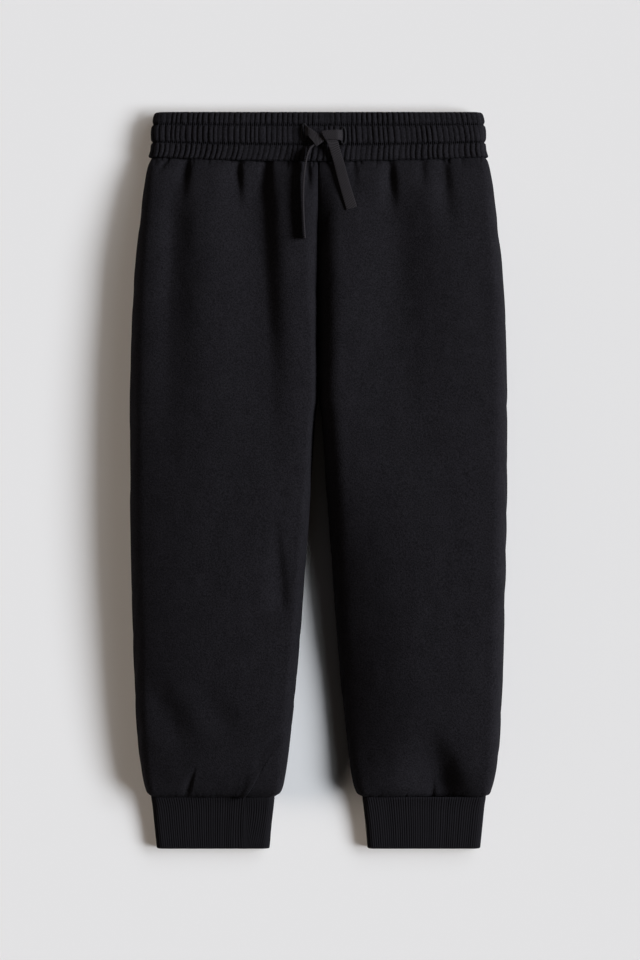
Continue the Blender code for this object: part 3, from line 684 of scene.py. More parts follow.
def mesh_piece(name, points, faces, finish, uv=None):
    """A smooth-shaded mesh object at the origin, with its points put in as whole arrays. faces
    are arrays of faces with the same number of sides each, and uv is a pair of numbers for each
    point."""
    corners = np.concatenate([group.ravel() for group in faces]).astype(np.int32)
    sides = np.concatenate([np.full(len(group), group.shape[1]) for group in faces])
    mesh = bpy.data.meshes.new(name)
    mesh.vertices.add(len(points))
    mesh.vertices.foreach_set("co", np.ascontiguousarray(points, np.float32).ravel())
    mesh.loops.add(len(corners))
    mesh.loops.foreach_set("vertex_index", corners)
    mesh.polygons.add(len(sides))
    mesh.polygons.foreach_set("loop_start", (np.cumsum(sides) - sides).astype(np.int32))
    mesh.update(calc_edges=True)
    mesh.validate()
    if uv is not None:
        layer = mesh.uv_layers.new(name="cloth")
        layer.data.foreach_set("uv", np.asarray(uv, np.float32)[corners].ravel())
    mesh.shade_smooth()
    mesh.materials.append(finish)
    made = bpy.data.objects.new(name, mesh)
    bpy.context.scene.collection.objects.link(made)
    return made


def dress(piece, slot, *nodes):
    """The piece rides on the garment and stands for nodes, whose parts are hidden. The slot is not
    used.
    """
    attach(piece, "root")
    if nodes:
        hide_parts(*nodes)


# ---------------------------------------------------------------- panels
def inward(face, outwards, down, side_seam_only):
    """Unit vectors into the cloth from a grid on its outer face: the surface's normal, the cross
    product of its two gradients, turned flat along each cut edge so that the wall ends in the
    seam's own plane."""
    normal = outwards * unit(np.cross(np.gradient(face, axis=1), np.gradient(face, axis=0)))
    level, upright = normal * (1, 1, 0), normal * (0, 1, 1)
    normal[:, 0] = level[:, 0]
    if not side_seam_only:
        legs = fade(down[:, -1:], *(CROTCH - above for above in RIM_TURN))
        normal[:, -1] = legs * level[:, -1] + (1 - legs) * upright[:, -1]
    normal[0] *= (1, 0, 1)
    normal[-1] *= (1, 0, 1)
    return -unit(normal)


def panel_relief(x, down, across, side, is_front, seed, rumple):
    """Fine relief of a panel, in millimetres along its normal: soft rumples, slanting creases
    on its walls, small gathers that run down from the waistband and up from the cuff, and the
    dip along each seam. The gathers are valleys where a random line across the seam is above
    0, each as long as another one says."""
    relief = np.zeros(x.shape)
    for number, (size, across_pitch, down_pitch, shift) in enumerate(RUMPLES):
        layer = rumples(x / across_pitch + shift, down / down_pitch, seed + number)
        relief += size * rumple * layer

    edge = np.minimum(across, 1 - across)
    folded = clamp(wander(down / CREASE_PITCH + CREASE_SLANT * edge, seed + 11))
    relief -= CREASE * folded * (1 - fade(edge, *CREASE_END)) * fade(down, *CREASE_START)

    for start, gathers in ((down - BAND_DEPTH, WAIST_GATHERS), (HEM - down, HEM_GATHERS)):
        depth, pitch, longest, number = gathers
        bend = GATHER_BEND * wander(start / BEND_PITCH, seed + number)
        valley = clamp(wander(x / pitch + bend, seed + number + 1))
        longer = (1 - SHORTEST_GATHER) * np.abs(wander(x / pitch / 2, seed + number + 2))
        relief -= depth * valley * (1 - fade(start, 0.0, longest * (SHORTEST_GATHER + longer)))

    relief -= WAIST_DIP * bell(down, BAND_DEPTH, WAIST_HALF)
    hem_dip = HEM_DIP + HEM_WANDER * wander(x / HEM_PITCH, seed + 9)
    relief -= hem_dip * bell(down, HEM, HEM_HALF)
    rolled = fade(down, *INSEAM_ROLL["down"][:2]) if side < 0 else 0.0 * down
    from_inseam = (1 - across) * panel_width(down)
    relief -= SIDE_DIP * bell(across * panel_width(down), 0.0, SIDE_HALF)
    relief -= SIDE_DIP * bell(from_inseam, 0.0, INSEAM_HALF) * (1 - rolled)
    if not is_front:
        return relief
    away = from_inseam - RIDGE_OFF
    ridge = bell(away, 0.0, np.where(away < 0, *RIDGE_HALVES))
    return relief + RIDGE * fade(down, *RIDGE_START) * rolled * ridge


def panel(name, points, side, rows, columns, seed, finish):
    """A cut panel: a grid over its outer face with its relief, the same grid a cloth's
    thickness further in, and a rim between them along its four edges."""
    cloth = bpy.context.scene.sweatpants_cloth
    down, across = np.meshgrid(rows, columns, indexing="ij")
    x, at, z = points(down, across, side)
    is_front = points is front_panel
    outwards = side if is_front else -side
    rolled = side < 0
    face = place(x, at, z)
    relief = panel_relief(x, down, across, side, is_front, seed, cloth.rumple / MM)
    if not is_front:
        pressed = np.where(z < PRESSED_BELOW, BACK_PRESSED, 1.0)
        relief = np.minimum(relief - BACK_SUNK, 0.0) * pressed
    face -= inward(face, outwards, down, rolled) * relief[..., None] * MM
    face[..., 2] = np.maximum(face[..., 2], 0.0)
    lining = face + inward(face, outwards, down, rolled) * cloth.wall
    count = down.size
    index = np.arange(count).reshape(down.shape)
    skin = grid_faces(*down.shape)
    ring = np.concatenate([index[0], index[1:, -1], index[-1, -2::-1], index[-2:0:-1, 0]])
    ahead = np.roll(ring, -1)
    rim = np.stack([ahead, ring, ring + count, ahead + count], axis=1)
    faces = np.concatenate([skin, skin[:, ::-1] + count, rim])
    if outwards < 0:
        faces = faces[:, ::-1]
    flat = np.stack([x, down], axis=-1).reshape(-1, 2) * MM
    points_in = np.concatenate([face, lining]).reshape(-1, 3)
    made = mesh_piece(name, points_in, [faces], finish, np.concatenate([flat, flat]))
    if rolled:
        crisp_edges(made.data, index[:, -1])
    return made


def crisp_edges(mesh, points):
    """Marks the edges between these points sharp, so that the face runs level up to them."""
    ends = np.empty(2 * len(mesh.edges), np.int32)
    mesh.edges.foreach_get("vertices", ends)
    sharp = np.isin(ends.reshape(-1, 2), points).all(axis=1)
    marked = mesh.attributes.new("sharp_edge", "BOOLEAN", "EDGE")
    marked.data.foreach_set("value", sharp)


def panel_rows(top_end, low_start, steps):
    """Rows down a panel: close together near both seams, wider over the leg."""
    stops = (BAND_DEPTH + SEAM_GAP, top_end, low_start, HEM)
    parts = [np.arange(*part) for part in zip(stops, stops[1:], steps)]
    return np.concatenate([*parts, [HEM]])


def shares(sides, middle):
    """Places across a panel, with more of them round each rounded side."""
    rolled = np.linspace(0.0, ROLL_SHARE, sides + 1)
    between = np.linspace(ROLL_SHARE, 1 - ROLL_SHARE, middle + 1)[1:-1]
    return np.concatenate([rolled, between, 1 - rolled[::-1]])


def add_panels(word, points, spacing, first_seed):
    """Adds the left and the right panel of the front or the back."""
    rows, columns = panel_rows(*spacing[0]), shares(*spacing[1])
    for half, side, seed in (("left", 1, first_seed), ("right", -1, first_seed + 100)):
        name = word + "_panel_" + half
        made = panel(name, points, side, rows, columns, seed, finish_of("Fleece"))
        dress(made, "fleece", word + "_" + half)


# ---------------------------------------------------------------- rings
def flattened_ring(low_x, high_x, loft, corner, depth, share):
    """Points round a flattened tube, at a depth inside its outer face. "share" runs from 0 at
    the low side over the upper face to 1 at the high side, and on under it to 2. The sides are
    quarter ellipses of the corner radius and half the loft. Returns x, z and the outward
    normal's x and z."""
    corner = corner - CORNER_SHRINK * depth
    half = loft / 2 - depth
    flat = high_x - low_x - 2 * depth - 2 * corner
    arc = QUARTER * np.sqrt((corner**2 + half**2) / 2)
    above = share <= 1
    distance = np.where(above, share, 2 - share) * (2 * arc + flat)
    left = clamp(distance / arc)
    right = clamp((distance - arc - flat) / arc)
    slide = np.clip(distance - arc, 0.0, flat)
    angle = math.pi * (1 - left / 2) - QUARTER * right
    upwards = np.where(above, 1.0, -1.0)
    x = low_x + depth + corner + slide + corner * np.cos(angle)
    z = depth + half + upwards * half * np.sin(angle)
    return x, z, np.cos(angle), upwards * np.sin(angle)


def pushed_out(x, z, nx, nz, move):
    """Points moved out by a distance. The underside only gives way inwards, and nothing goes
    below the floor."""
    z = z + nz * np.where(nz > 0, move, np.minimum(move, 0.0))
    return x + nx * move, np.maximum(z, 0.0)


def wall_profile(top, low, wall, outer_rows, round_top, round_low):
    """(down, depth) pairs round a tube wall's own cross-section: down its outer face at the
    given shares of its length, then inside and up. A rounded edge is a half circle across the
    wall; a sewn one is square."""
    r = wall / 2
    turn = np.linspace(0.0, math.pi, 9)
    start = top + (r if round_top else 0.0)
    end = low - (r if round_low else 0.0)
    down = [start + (end - start) * outer_rows]
    depth = [np.zeros(len(outer_rows))]
    if round_low:
        down.append(end + r * np.sin(turn[1:]))
        depth.append(r * (1 - np.cos(turn[1:])))
    down.append(np.linspace(end, start, 5)[1 if round_low else 0 :])
    depth.append(np.full(len(down[-1]), wall))
    if round_top:
        down.append(start - r * np.sin(turn[1:-1]))
        depth.append(r * (1 + np.cos(turn[1:-1])))
    return np.concatenate(down), np.concatenate(depth)


def uneven(share, wandering, number=0):
    """How far something wanders round a tube, with a number added to its seed."""
    size, waves, seed = wandering
    return size * wander(share * waves, seed + number)


def pleat(phase, power):
    """A gather's or a rib's cross-section from -1 to 1: the absolute sine to a power below 1,
    so that it has a broad crest and a narrow valley."""
    return 2 * np.abs(np.sin(math.pi * phase)) ** power - 1


def band_points(down, depth, share):
    """Points of the waistband. Each channel swells between its stitched lines and carries its
    own gathers, whose spacing and slant wander and which are pinched out at the lines. Below,
    the gathers only cut into the cloth, so the underside stays flat."""
    gathers = bpy.context.scene.sweatpants_cloth.gathers
    outer, loft = read_all(BAND_ROWS, down)
    x, z, nx, nz = flattened_ring(-outer, outer, loft, BAND_CORNER, depth, share)
    upper = fade(z, loft * BAND_UPPER[0], loft * BAND_UPPER[1])
    shown = 1 - fade(depth, BAND_SKIN, BAND_WALL)
    move = np.zeros(x.shape)
    at_knot = KNOT_PATCH[2] * bell(x, *KNOT_PATCH[:2])
    at_holes = HOLE_PATCH[1] * sum(bell(x, middle, HOLE_PATCH[0]) for middle, _ in BUTTONHOLES)
    patches = (at_knot, at_holes, 0.0 * x)
    count = share * gathers + uneven(share, GATHER_SPACING)
    dimple = 0.5 + 0.5 * np.cos(2 * math.pi * share * 2 * outer / STITCH_PITCH)
    places = np.array([0.0, LEAN_MIDDLE, 1.0, 2.0])
    for number, (start, end, above, below, *leans) in enumerate(CHANNELS):
        t = clamp((down - start) / (end - start))
        inside = (down >= start) & ((down < end) | (end == BAND_DEPTH))
        from_line = np.minimum(down - start + above, end - down + below)
        groove = bell(np.maximum(from_line, 0.0), 0.0, GROOVE)
        lean = smooth(share, places, np.array([*leans, leans[0]]))
        wave = pleat(count - lean * t + uneven(share, GATHER_SLANT, number), PLEAT_POWER)
        sizes = SIZE_WANDER * wander(share * gathers / SIZE_PITCH, SIZE_SEED + number)
        size = np.clip(GATHER_SIZE + sizes, *SIZE_LIMITS)
        size = size * (1 - patches[number] * upper) * (1 - PINCH * groove)
        swell = PUFF * (1 + np.sin(math.pi * t) ** PUFF_POWER)
        swell = swell - groove * (LINE_DEPTH + DIMPLE_DEPTH * dimple)
        cut = (wave - 1) * UNDER_RELIEF * (1 - upper)
        raised = swell * upper + size * (wave * upper + cut)
        move = np.where(inside, raised * shown, move)
        count = count - lean
    across = clamp(1 - (x / outer) ** 2)
    hang = clamp(down / BAND_DEPTH) ** HANG_POWER
    at = down + BAND_SAG * hang * across * fade(z, 0.0, loft * HANG_TOP)
    x, z = pushed_out(x, z, nx, nz, move)
    return x, at, z


def cuff_points(down, depth, share, side):
    """Points of a cuff: vertical ribs over both faces, rounded ridges with narrow grooves. On
    the right cuff a plain strip runs down its closing seam, wider towards the bottom, and the
    ribs beyond it bow away from it."""
    ribs = bpy.context.scene.sweatpants_cloth.ribs
    outer, inner, loft = read_all(CUFF_ROWS, down)
    low_x, high_x = (inner, outer) if side > 0 else (-outer, -inner)
    x, z, nx, nz = flattened_ring(low_x, high_x, loft, CUFF_CORNER, depth, share)
    upper = fade(z, loft * CUFF_UPPER[0], loft * CUFF_UPPER[1])
    phase = share * ribs + uneven(share, RIB_SPACING, side)
    move = np.zeros(x.shape)
    plain = 0.0
    if side < 0:
        beside = x - CUFF_SEAM
        t = clamp((down - HEM) / (LENGTH - HEM))
        spread = BOW_TOP * np.exp(-t / BOW_FADE) + BOW_LOW * t**BOW_POWER
        phase = phase + spread * fade(beside, 0.0, BOW_WIDTH) * upper
        bowed = t**RIGHT_BOW_POWER * bell(beside, RIGHT_BOW, RIGHT_BOW_HALF)
        phase = phase - bowed * (beside < 0) * upper
        plain = bell(beside, STRIP[0], STRIP[1] + STRIP_GAIN * t**STRIP_POWER) * upper
        welt = bell(beside, WELT[0], WELT[1] + WELT_GAIN * t)
        move += (WELT_HEIGHT + WELT_RISE * t) * welt * upper
    wave = pleat(phase, RIB_POWER)
    height = (RIB_HEIGHT + uneven(share, RIB_WANDER, side)) * (1 - plain)
    shown = 1 - fade(depth, CUFF_SKIN, CUFF_WALL)
    move += height * (wave * upper + (wave - 1) * RIB_CUT * (1 - upper)) * shown
    move -= CUFF_DIP * bell(down, HEM + SEAM_GAP, 1.2) * upper * shown
    x, z = pushed_out(x, z, nx, nz, move)
    return x, down + 0.0 * x, z


def tube(name, points, profile, columns, finish):
    """A tube wall: its cross-section carried round a flattened ring, closed both ways."""
    down, depth = (values[:, None] for values in profile)
    share = np.linspace(0.0, 2.0, columns, endpoint=False)[None, :]
    x, at, z = points(down, depth, share)
    faces = grid_faces(len(down), columns, closed_rows=True, closed_columns=True)
    flat = np.stack(np.broadcast_arrays(share * UV_HALF_ROUND, down), axis=-1).reshape(-1, 2)
    return mesh_piece(name, place(x, at, z).reshape(-1, 3), [faces], finish, flat * MM)


# ---------------------------------------------------------------- drawstring
def full_turn(steps):
    """Angles all round a circle."""
    return np.linspace(0.0, 2 * math.pi, steps, endpoint=False)


def signed_power(value, power):
    """A number's size to a power, with the number's own sign."""
    return np.sign(value) * np.abs(value) ** power


def distances(path):
    """How far along a path each of its points is."""
    return np.concatenate([[0.0], np.cumsum(np.linalg.norm(np.diff(path, axis=0), axis=1))])


def cloth_height(x, down):
    """The height of the upper face under the drawstring: the tops of the band's gathers, then
    the highest point of the fronts within half a tape's width."""
    on_band = read(BAND_ROWS, "loft", down) + BAND_CREST
    places = np.maximum(down, SECTIONS["down"][0]), np.linspace(0.0, 1.0, 160)
    below, across = np.meshgrid(*places, indexing="ij")
    on_body = np.zeros(len(x))
    for side in (1, -1):
        xs, _, zs = front_points(below, across, side)
        near = np.abs(xs - x[:, None]) < TAPE_WIDTH / 2
        on_body = np.maximum(on_body, np.where(near, zs, 0.0).max(axis=1))
    share = fade(down, BAND_DEPTH - CLIMB[0], BAND_DEPTH + CLIMB[1])
    on_body = np.maximum(on_body, on_band * (1 - share))
    return on_band * (1 - share) + on_body * share


def tape_edges(stations):
    """The tape's two edges along a smooth curve through its stations."""
    knots = np.arange(len(stations["x_a"]), dtype=float)
    at = np.linspace(0.0, knots[-1], TAPE_STEPS * (len(knots) - 1) + 1)
    columns = [smooth(at, knots, values) for values in stations.values()]
    x, down, lift = (np.stack(columns[i::3], axis=1) for i in range(3))
    height = cloth_height(x.mean(axis=1), down.mean(axis=1))
    return np.stack([x, WAIST_EDGE - down, height[:, None] + lift], axis=2)


def make_tape(name, stations, finish):
    """A flat woven tape: a section with rounded selvedges carried along the stations, closed by
    a fan of triangles at each end. Its end is folded back and stitched down, so it is
    thicker. Returns the tape, its middle line and its length in metres."""
    edges = tape_edges(stations)
    middle = edges.mean(axis=1)
    breadth = edges[:, 1] - edges[:, 0]
    face = unit(np.cross(np.gradient(middle, axis=0), breadth))
    run = distances(middle)
    turn = full_turn(TAPE_SIDES)
    wide = signed_power(np.cos(turn), TAPE_POWERS[0])
    thick = signed_power(np.sin(turn), TAPE_POWERS[1])
    end = run[-1] - TAPE_END
    hem = fade(run, end - END_STEP[0], end + END_STEP[1])
    pinch = END_PINCH * bell(run, end, PINCH_HALF)
    half = (TAPE / 2 * (1 + END_THICKER * hem - pinch))[:, None, None]
    selvedge = 1 + SELVEDGE * np.abs(wide) ** SELVEDGE_POWER
    slope = (wide[None, :] * TAPE_WIDTH / 2 + run[:, None]) / TWILL_PITCH
    ridge = 1 + TWILL_RIDGE * np.sin(2 * math.pi * slope) * (np.abs(wide) < TWILL_REACH)
    points = (
        middle[:, None, :]
        + wide[None, :, None] * breadth[:, None, :] / 2
        + (thick * selvedge * ridge)[..., None] * face[:, None, :] * half
    )
    rows, columns = points.shape[:2]
    points = np.concatenate([points.reshape(-1, 3), middle[[0, -1]]])
    faces = grid_faces(rows, columns, closed_columns=True)
    ring = np.arange(columns)
    beside = np.roll(ring, -1)
    far, centre = (rows - 1) * columns, np.full(columns, rows * columns)
    fans = [(beside, ring, centre), (ring + far, beside + far, centre + 1)]
    fans = np.concatenate([np.stack(fan, axis=1) for fan in fans])
    uv = np.stack(np.broadcast_arrays(wide[None, :] * TAPE_WIDTH / 2, run[:, None]), axis=-1)
    uv = np.concatenate([uv.reshape(-1, 2), [[0.0, 0.0], [0.0, run[-1]]]]) * MM
    made = mesh_piece(name, points * MM, [faces, fans], finish, uv)
    return made, middle * MM, float(run[-1]) * MM


# ---------------------------------------------------------------- sewing
def stitches(path, normals):
    """Stitches along a path in millimetres: each a small six-sided loop of thread, bent down at
    both ends, with its long axis along the path. Returns their points and faces."""
    run = distances(path)
    count = int(run[-1] / STITCH_PITCH)
    at = (np.arange(count) + 0.5) * run[-1] / count

    def sample(values):
        return np.stack([np.interp(at, run, values[:, i]) for i in range(3)], axis=1)

    middle, up = sample(path), unit(sample(normals))
    ahead = unit(sample(np.gradient(path, run, axis=0)))
    beside = unit(np.cross(ahead, up))
    along = np.linspace(-1.0, 1.0, STITCH_STEPS)[None, :, None, None]
    turn = full_turn(STITCH_SIDES)[None, None, :, None]
    thick = STITCH_RADIUS * np.sqrt(1 - STITCH_TAPER * along**2)
    rise = STITCH_RADIUS * (STITCH_RISE - STITCH_BEND * along**2) + thick * np.cos(turn)
    ring = (
        middle[:, None, None, :]
        + STITCH_LENGTH / 2 * along * ahead[:, None, None, :]
        + rise * up[:, None, None, :]
        + thick * np.sin(turn) * beside[:, None, None, :]
    )
    one = grid_faces(STITCH_STEPS, STITCH_SIDES, closed_columns=True)
    size = STITCH_STEPS * STITCH_SIDES
    start = np.array([(3, 2, 1, 0), (5, 4, 3, 0)])
    one = np.concatenate([one, start, start[:, ::-1] + size - STITCH_SIDES])
    faces = (np.arange(count)[:, None, None] * size + one[None]).reshape(-1, 4)
    return ring.reshape(-1, 3), faces


def joined(parts):
    """Several (points, faces) pairs as one."""
    shift = np.cumsum([0] + [len(points) for points, _ in parts[:-1]])
    points = np.concatenate([points for points, _ in parts])
    return points, np.concatenate([faces + n for (_, faces), n in zip(parts, shift)])


def band_line(down):
    """A line round the waistband's outer face, smoothed over 19 of its points, and the way out
    from it, with its ends joined."""
    share = np.linspace(0.0, 2.0, 1400)
    x, at, z = band_points(down + 0.0 * share, 0.0 * share, share)
    path = np.stack([x, WAIST_EDGE - at, z], axis=1)
    out = path - np.stack([0.9 * x, path[:, 1], 0.0 * z + 0.5 * z.max()], axis=1)
    normals = unit(out * np.where(np.abs(path[:, :1]) < 110, (0, 0, 1), (1, 0, 1)))
    smoothed = np.stack(
        [np.convolve(np.r_[v[-9:], v, v[:9]], np.ones(19) / 19, "valid") for v in path.T], axis=1
    )
    return smoothed, normals


def satin_ring(middle_x, middle_down):
    """A buttonhole's edge: a rounded band of thread carried round an oval, with a ridge for each
    stitch across it."""
    half_x, half_down = BUTTONHOLE_HALF
    wide, high = SATIN
    turn, round_it = full_turn(SATIN_STEPS)[:, None], full_turn(SATIN_SIDES)[None, :]
    cosine, sine = np.cos(turn), np.sin(turn)
    x = half_x * signed_power(cosine, 0.9)
    down = half_down * signed_power(sine, 0.75)
    out = unit(np.concatenate([cosine, sine * half_x / half_down * 2.5], axis=1))
    ridge = 1 + SATIN_RIDGE * np.sin(SATIN_RIDGES * turn)
    off = wide * ridge * np.cos(round_it)
    x = middle_x + x + out[:, :1] * off
    down = middle_down + down + out[:, 1:] * off
    loft = read(BAND_ROWS, "loft", down - BAND_SAG * 0.4)
    z = loft + BAND_CREST - SATIN_SUNK + high * ridge * np.sin(round_it)
    points = np.stack([x, WAIST_EDGE - down, z], axis=-1).reshape(-1, 3)
    return points, grid_faces(SATIN_STEPS, SATIN_SIDES, closed_rows=True, closed_columns=True)


# ---------------------------------------------------------------- materials
def add_node(tree, kind, inputs, **settings):
    """A shader node with its settings and its inputs, each a value or the socket it is linked
    to."""
    made = tree.nodes.new("ShaderNode" + kind)
    for name, value in settings.items():
        setattr(made, name, value)
    for name, value in inputs.items():
        if isinstance(value, bpy.types.NodeSocket):
            tree.links.new(value, made.inputs[name])
        else:
            made.inputs[name].default_value = value
    return made


def new_group(name, **inputs):
    """A pattern's empty node group: coordinates and numbers in, a tone and a height out."""
    tree = bpy.data.node_groups.new(name, "ShaderNodeTree")
    tree.interface.new_socket("Coordinates", in_out="INPUT", socket_type="NodeSocketVector")
    for label, value in inputs.items():
        socket = tree.interface.new_socket(label, in_out="INPUT", socket_type="NodeSocketFloat")
        socket.default_value = value
    for label in ("Tone", "Height"):
        tree.interface.new_socket(label, in_out="OUTPUT", socket_type="NodeSocketFloat")
    return tree, tree.nodes.new("NodeGroupInput").outputs


def end_group(tree, tone, height):
    """Links a pattern's tone and height to its group's outputs."""
    out = tree.nodes.new("NodeGroupOutput")
    tree.links.new(tone, out.inputs["Tone"])
    tree.links.new(height, out.inputs["Height"])
    return tree


def nap_group():
    """Brushed nap: short fibres as fine noise, over a slower cloudiness where the pile lies
    one way or the other. It puts out a tone from 0 to 1 and a height."""
    tree, given = new_group("Nap", Fibre=900.0, Cloud=55.0)
    fine = {"Scale": given["Fibre"], "Detail": 5.0, "Roughness": 0.65}
    slow = {"Scale": given["Cloud"], "Detail": 3.0, "Roughness": 0.55, "Distortion": 0.4}
    fibre, cloud = (
        add_node(tree, "TexNoise", {"Vector": given["Coordinates"], **inputs}).outputs["Fac"]
        for inputs in (fine, slow)
    )
    mixed = add_node(tree, "Mix", {"Factor": 0.14, "A": fibre, "B": cloud}).outputs["Result"]
    stretch = {"Value": mixed, "From Min": 0.38, "From Max": 0.62}
    return end_group(tree, add_node(tree, "MapRange", stretch).outputs["Result"], fibre)


def twill_group():
    """Twill weave on a piece's own UV map: diagonal ridges, broken up by fine threads. It puts out
    a tone, mostly the sine of the sum of both coordinates with some noise, and a height. The tone
    follows the ridges' height, so the crests are painted lighter and the grooves darker: painted
    highlight and painted shade on the weave, over the threads' random tone."""
    tree, given = new_group("Twill", Ridges=690.0)
    parts = add_node(tree, "SeparateXYZ", {"Vector": given["Coordinates"]}).outputs
    value = given["Ridges"]
    for operation, inputs in (
        ("MULTIPLY", {1: 2 * math.pi}),
        ("MULTIPLY", {1: add_node(tree, "Math", {0: parts["X"], 1: parts["Y"]}).outputs[0]}),
        ("SINE", {}),
    ):
        value = add_node(tree, "Math", {0: value, **inputs}, operation=operation).outputs[0]
    ridges = add_node(tree, "MapRange", {"Value": value, "From Min": -1.0}).outputs["Result"]
    fine = {"Scale": 1500.0, "Detail": 2.0, "Roughness": 0.6}
    threads = add_node(tree, "TexNoise", {"Vector": given["Coordinates"], **fine})
    mixed = {"Factor": 0.35, "A": ridges, "B": threads.outputs["Fac"]}
    return end_group(tree, add_node(tree, "Mix", mixed).outputs["Result"], ridges)


def plain_material(name, colour, roughness, specular):
    """A rough material and its shader."""
    made = bpy.data.materials.new(name)
    made.use_nodes = True
    shader = made.node_tree.nodes["Principled BSDF"]
    shader.inputs["Base Color"].default_value = (*colour, 1.0)
    shader.inputs["Roughness"].default_value = roughness
    shader.inputs["Specular IOR Level"].default_value = specular
    return made, shader


def finish_of(name):
    """The cloth finish of this name, made on first use: a pattern group that varies the colour
    between darker and lighter and raises the surface, on a rough shader with some sheen."""
    if name in bpy.data.materials:
        return bpy.data.materials[name]
    setting, pattern, values, lightness, relief, sheen, roughness = FINISHES[name]
    colour = getattr(bpy.context.scene.sweatpants_colours, setting)
    made, shader = plain_material(name, colour, roughness, SPECULAR)
    tree = made.node_tree
    maker, source = {"Nap": (nap_group, "Object"), "Twill": (twill_group, "UV")}[pattern]
    group = bpy.data.node_groups.get(pattern) or maker()
    place_on = add_node(tree, "TexCoord", {}).outputs[source]
    drawn = add_node(tree, "Group", {}, node_tree=group)
    tree.links.new(place_on, drawn.inputs["Coordinates"])
    for socket, value in values.items():
        drawn.inputs[socket].default_value = value
    ramp = add_node(tree, "ValToRGB", {"Fac": drawn.outputs["Tone"]})
    for stop, share in zip(ramp.color_ramp.elements, (1 - lightness, 1 + lightness)):
        stop.color = [c * share for c in colour] + [1.0]
    strength, height = relief
    bump = {"Strength": strength, "Distance": height * MM, "Height": drawn.outputs["Height"]}
    tree.links.new(ramp.outputs["Color"], shader.inputs["Base Color"])
    tree.links.new(add_node(tree, "Bump", bump).outputs["Normal"], shader.inputs["Normal"])
    shader.inputs["Sheen Weight"].default_value = sheen
    shader.inputs["Sheen Roughness"].default_value = SHEEN_ROUGHNESS
    shader.inputs["Sheen Tint"].default_value = SHEEN_TINT
    return made


# ---------------------------------------------------------------- light
def add_light(name, strength, colour, spread, rise, turn, distance=None):
    """A soft light from a direction, rise degrees up and turned from +X towards +Y: a sun or,
    at a distance, a disk that is as strong at the origin. The disk's power is pi times the
    distance squared times the strength."""
    light = bpy.data.lights.new(name, "AREA" if distance else "SUN")
    light.color = colour
    light.energy = strength
    lamp = bpy.data.objects.new(name, light)
    up, round_z = math.radians(rise), math.radians(turn)
    lamp.rotation_euler = (0.0, QUARTER - up, round_z)
    if distance:
        light.shape = "DISK"
        light.size = 2 * distance * math.tan(math.radians(spread / 2))
        light.energy = strength * math.pi * distance**2
        level = distance * math.cos(up)
        height = distance * math.sin(up)
        lamp.location = (level * math.cos(round_z), level * math.sin(round_z), height)
    else:
        light.angle = math.radians(spread)
    bpy.context.scene.collection.objects.link(lamp)
    return lamp


def only(name, pieces):
    """A collection that isn't in the scene and only lists the pieces that a light reaches or
    is held back by."""
    listed = bpy.data.collections.new(name)
    for piece in pieces:
        listed.objects.link(piece)
    return listed


def link_light(lamp, receivers, blockers=None):
    """The light reaches only the receivers. With blockers, only these hold it back."""
    lamp.light_linking.receiver_collection = receivers
    if blockers:
        lamp.light_linking.blocker_collection = blockers


# ---------------------------------------------------------------- operators
class SWEATPANTS_OT_stage(bpy.types.Operator):
    """Add the floor, the light from all round and a camera that looks straight down."""

    bl_idname = "sweatpants.stage"
    bl_label = "Stage"

    def execute(self, context):
        scene = context.scene
        settings = scene.sweatpants_stage
        paint, _ = plain_material("Backdrop", scene.sweatpants_colours.backdrop, 0.9, 0.1)
        corners = np.array([(-1, -1, 0), (1, -1, 0), (1, 1, 0), (-1, 1, 0)]) * FLOOR_REACH
        floor = mesh_piece("floor", corners - (0, 0, FLOOR_DROP), [np.arange(4)[None]], paint)

        scene.view_settings.view_transform = "Standard"
        world = bpy.data.worlds.new("Room")
        world.use_nodes = True
        room = world.node_tree.nodes["Background"]
        room.inputs["Color"].default_value = (*WARM, 1.0)
        room.inputs["Strength"].default_value = settings.room
        scene.world = world

        camera = bpy.data.cameras.new("camera")
        camera.sensor_width = 36.0
        height = settings.camera_height
        camera.lens = camera.sensor_width * (height - OUTLINE_HEIGHT) / (IMAGE_HEIGHT * PIXEL * MM)
        eye = bpy.data.objects.new("camera", camera)
        middle_x = (IMAGE_WIDTH / 2 - CENTRE_LINE) * PIXEL * MM
        middle_y = (CENTRE_ROW - IMAGE_HEIGHT / 2) * PIXEL * MM
        eye.location = (middle_x, middle_y, height)
        scene.collection.objects.link(eye)
        scene.camera = eye
        return {"FINISHED"}


class SWEATPANTS_OT_lights(bpy.types.Operator):
    """Add a cool key and a warm fill for the cloth, and the same for the floor. The floor's key
    comes from three directions, and only the right leg holds back its fill."""

    bl_idname = "sweatpants.lights"
    bl_label = "Lights"

    def execute(self, context):
        settings = context.scene.sweatpants_stage
        pieces = [bpy.data.objects[name] for name in PIECES]
        floor = only("floor only", [bpy.data.objects["floor"]])
        cloth = only("cloth only", pieces)
        right = only("right leg", [p for p in pieces if p.name.endswith("panel_right")])
        for number, (share, *shape) in enumerate(FLOOR_KEYS):
            key = add_light("floor key %d" % number, share * settings.floor_key, COOL, *shape)
            link_light(key, floor, cloth)
        fill = add_light("floor fill", settings.floor_fill, WARM, *FLOOR_FILL)
        link_light(fill, floor, right)
        key = add_light("cloth key", settings.cloth_key, COOL, *CLOTH_KEY, KEY_DISTANCE)
        link_light(key, cloth)
        link_light(add_light("cloth fill", settings.cloth_fill, WARM, *CLOTH_FILL), cloth)
        return {"FINISHED"}


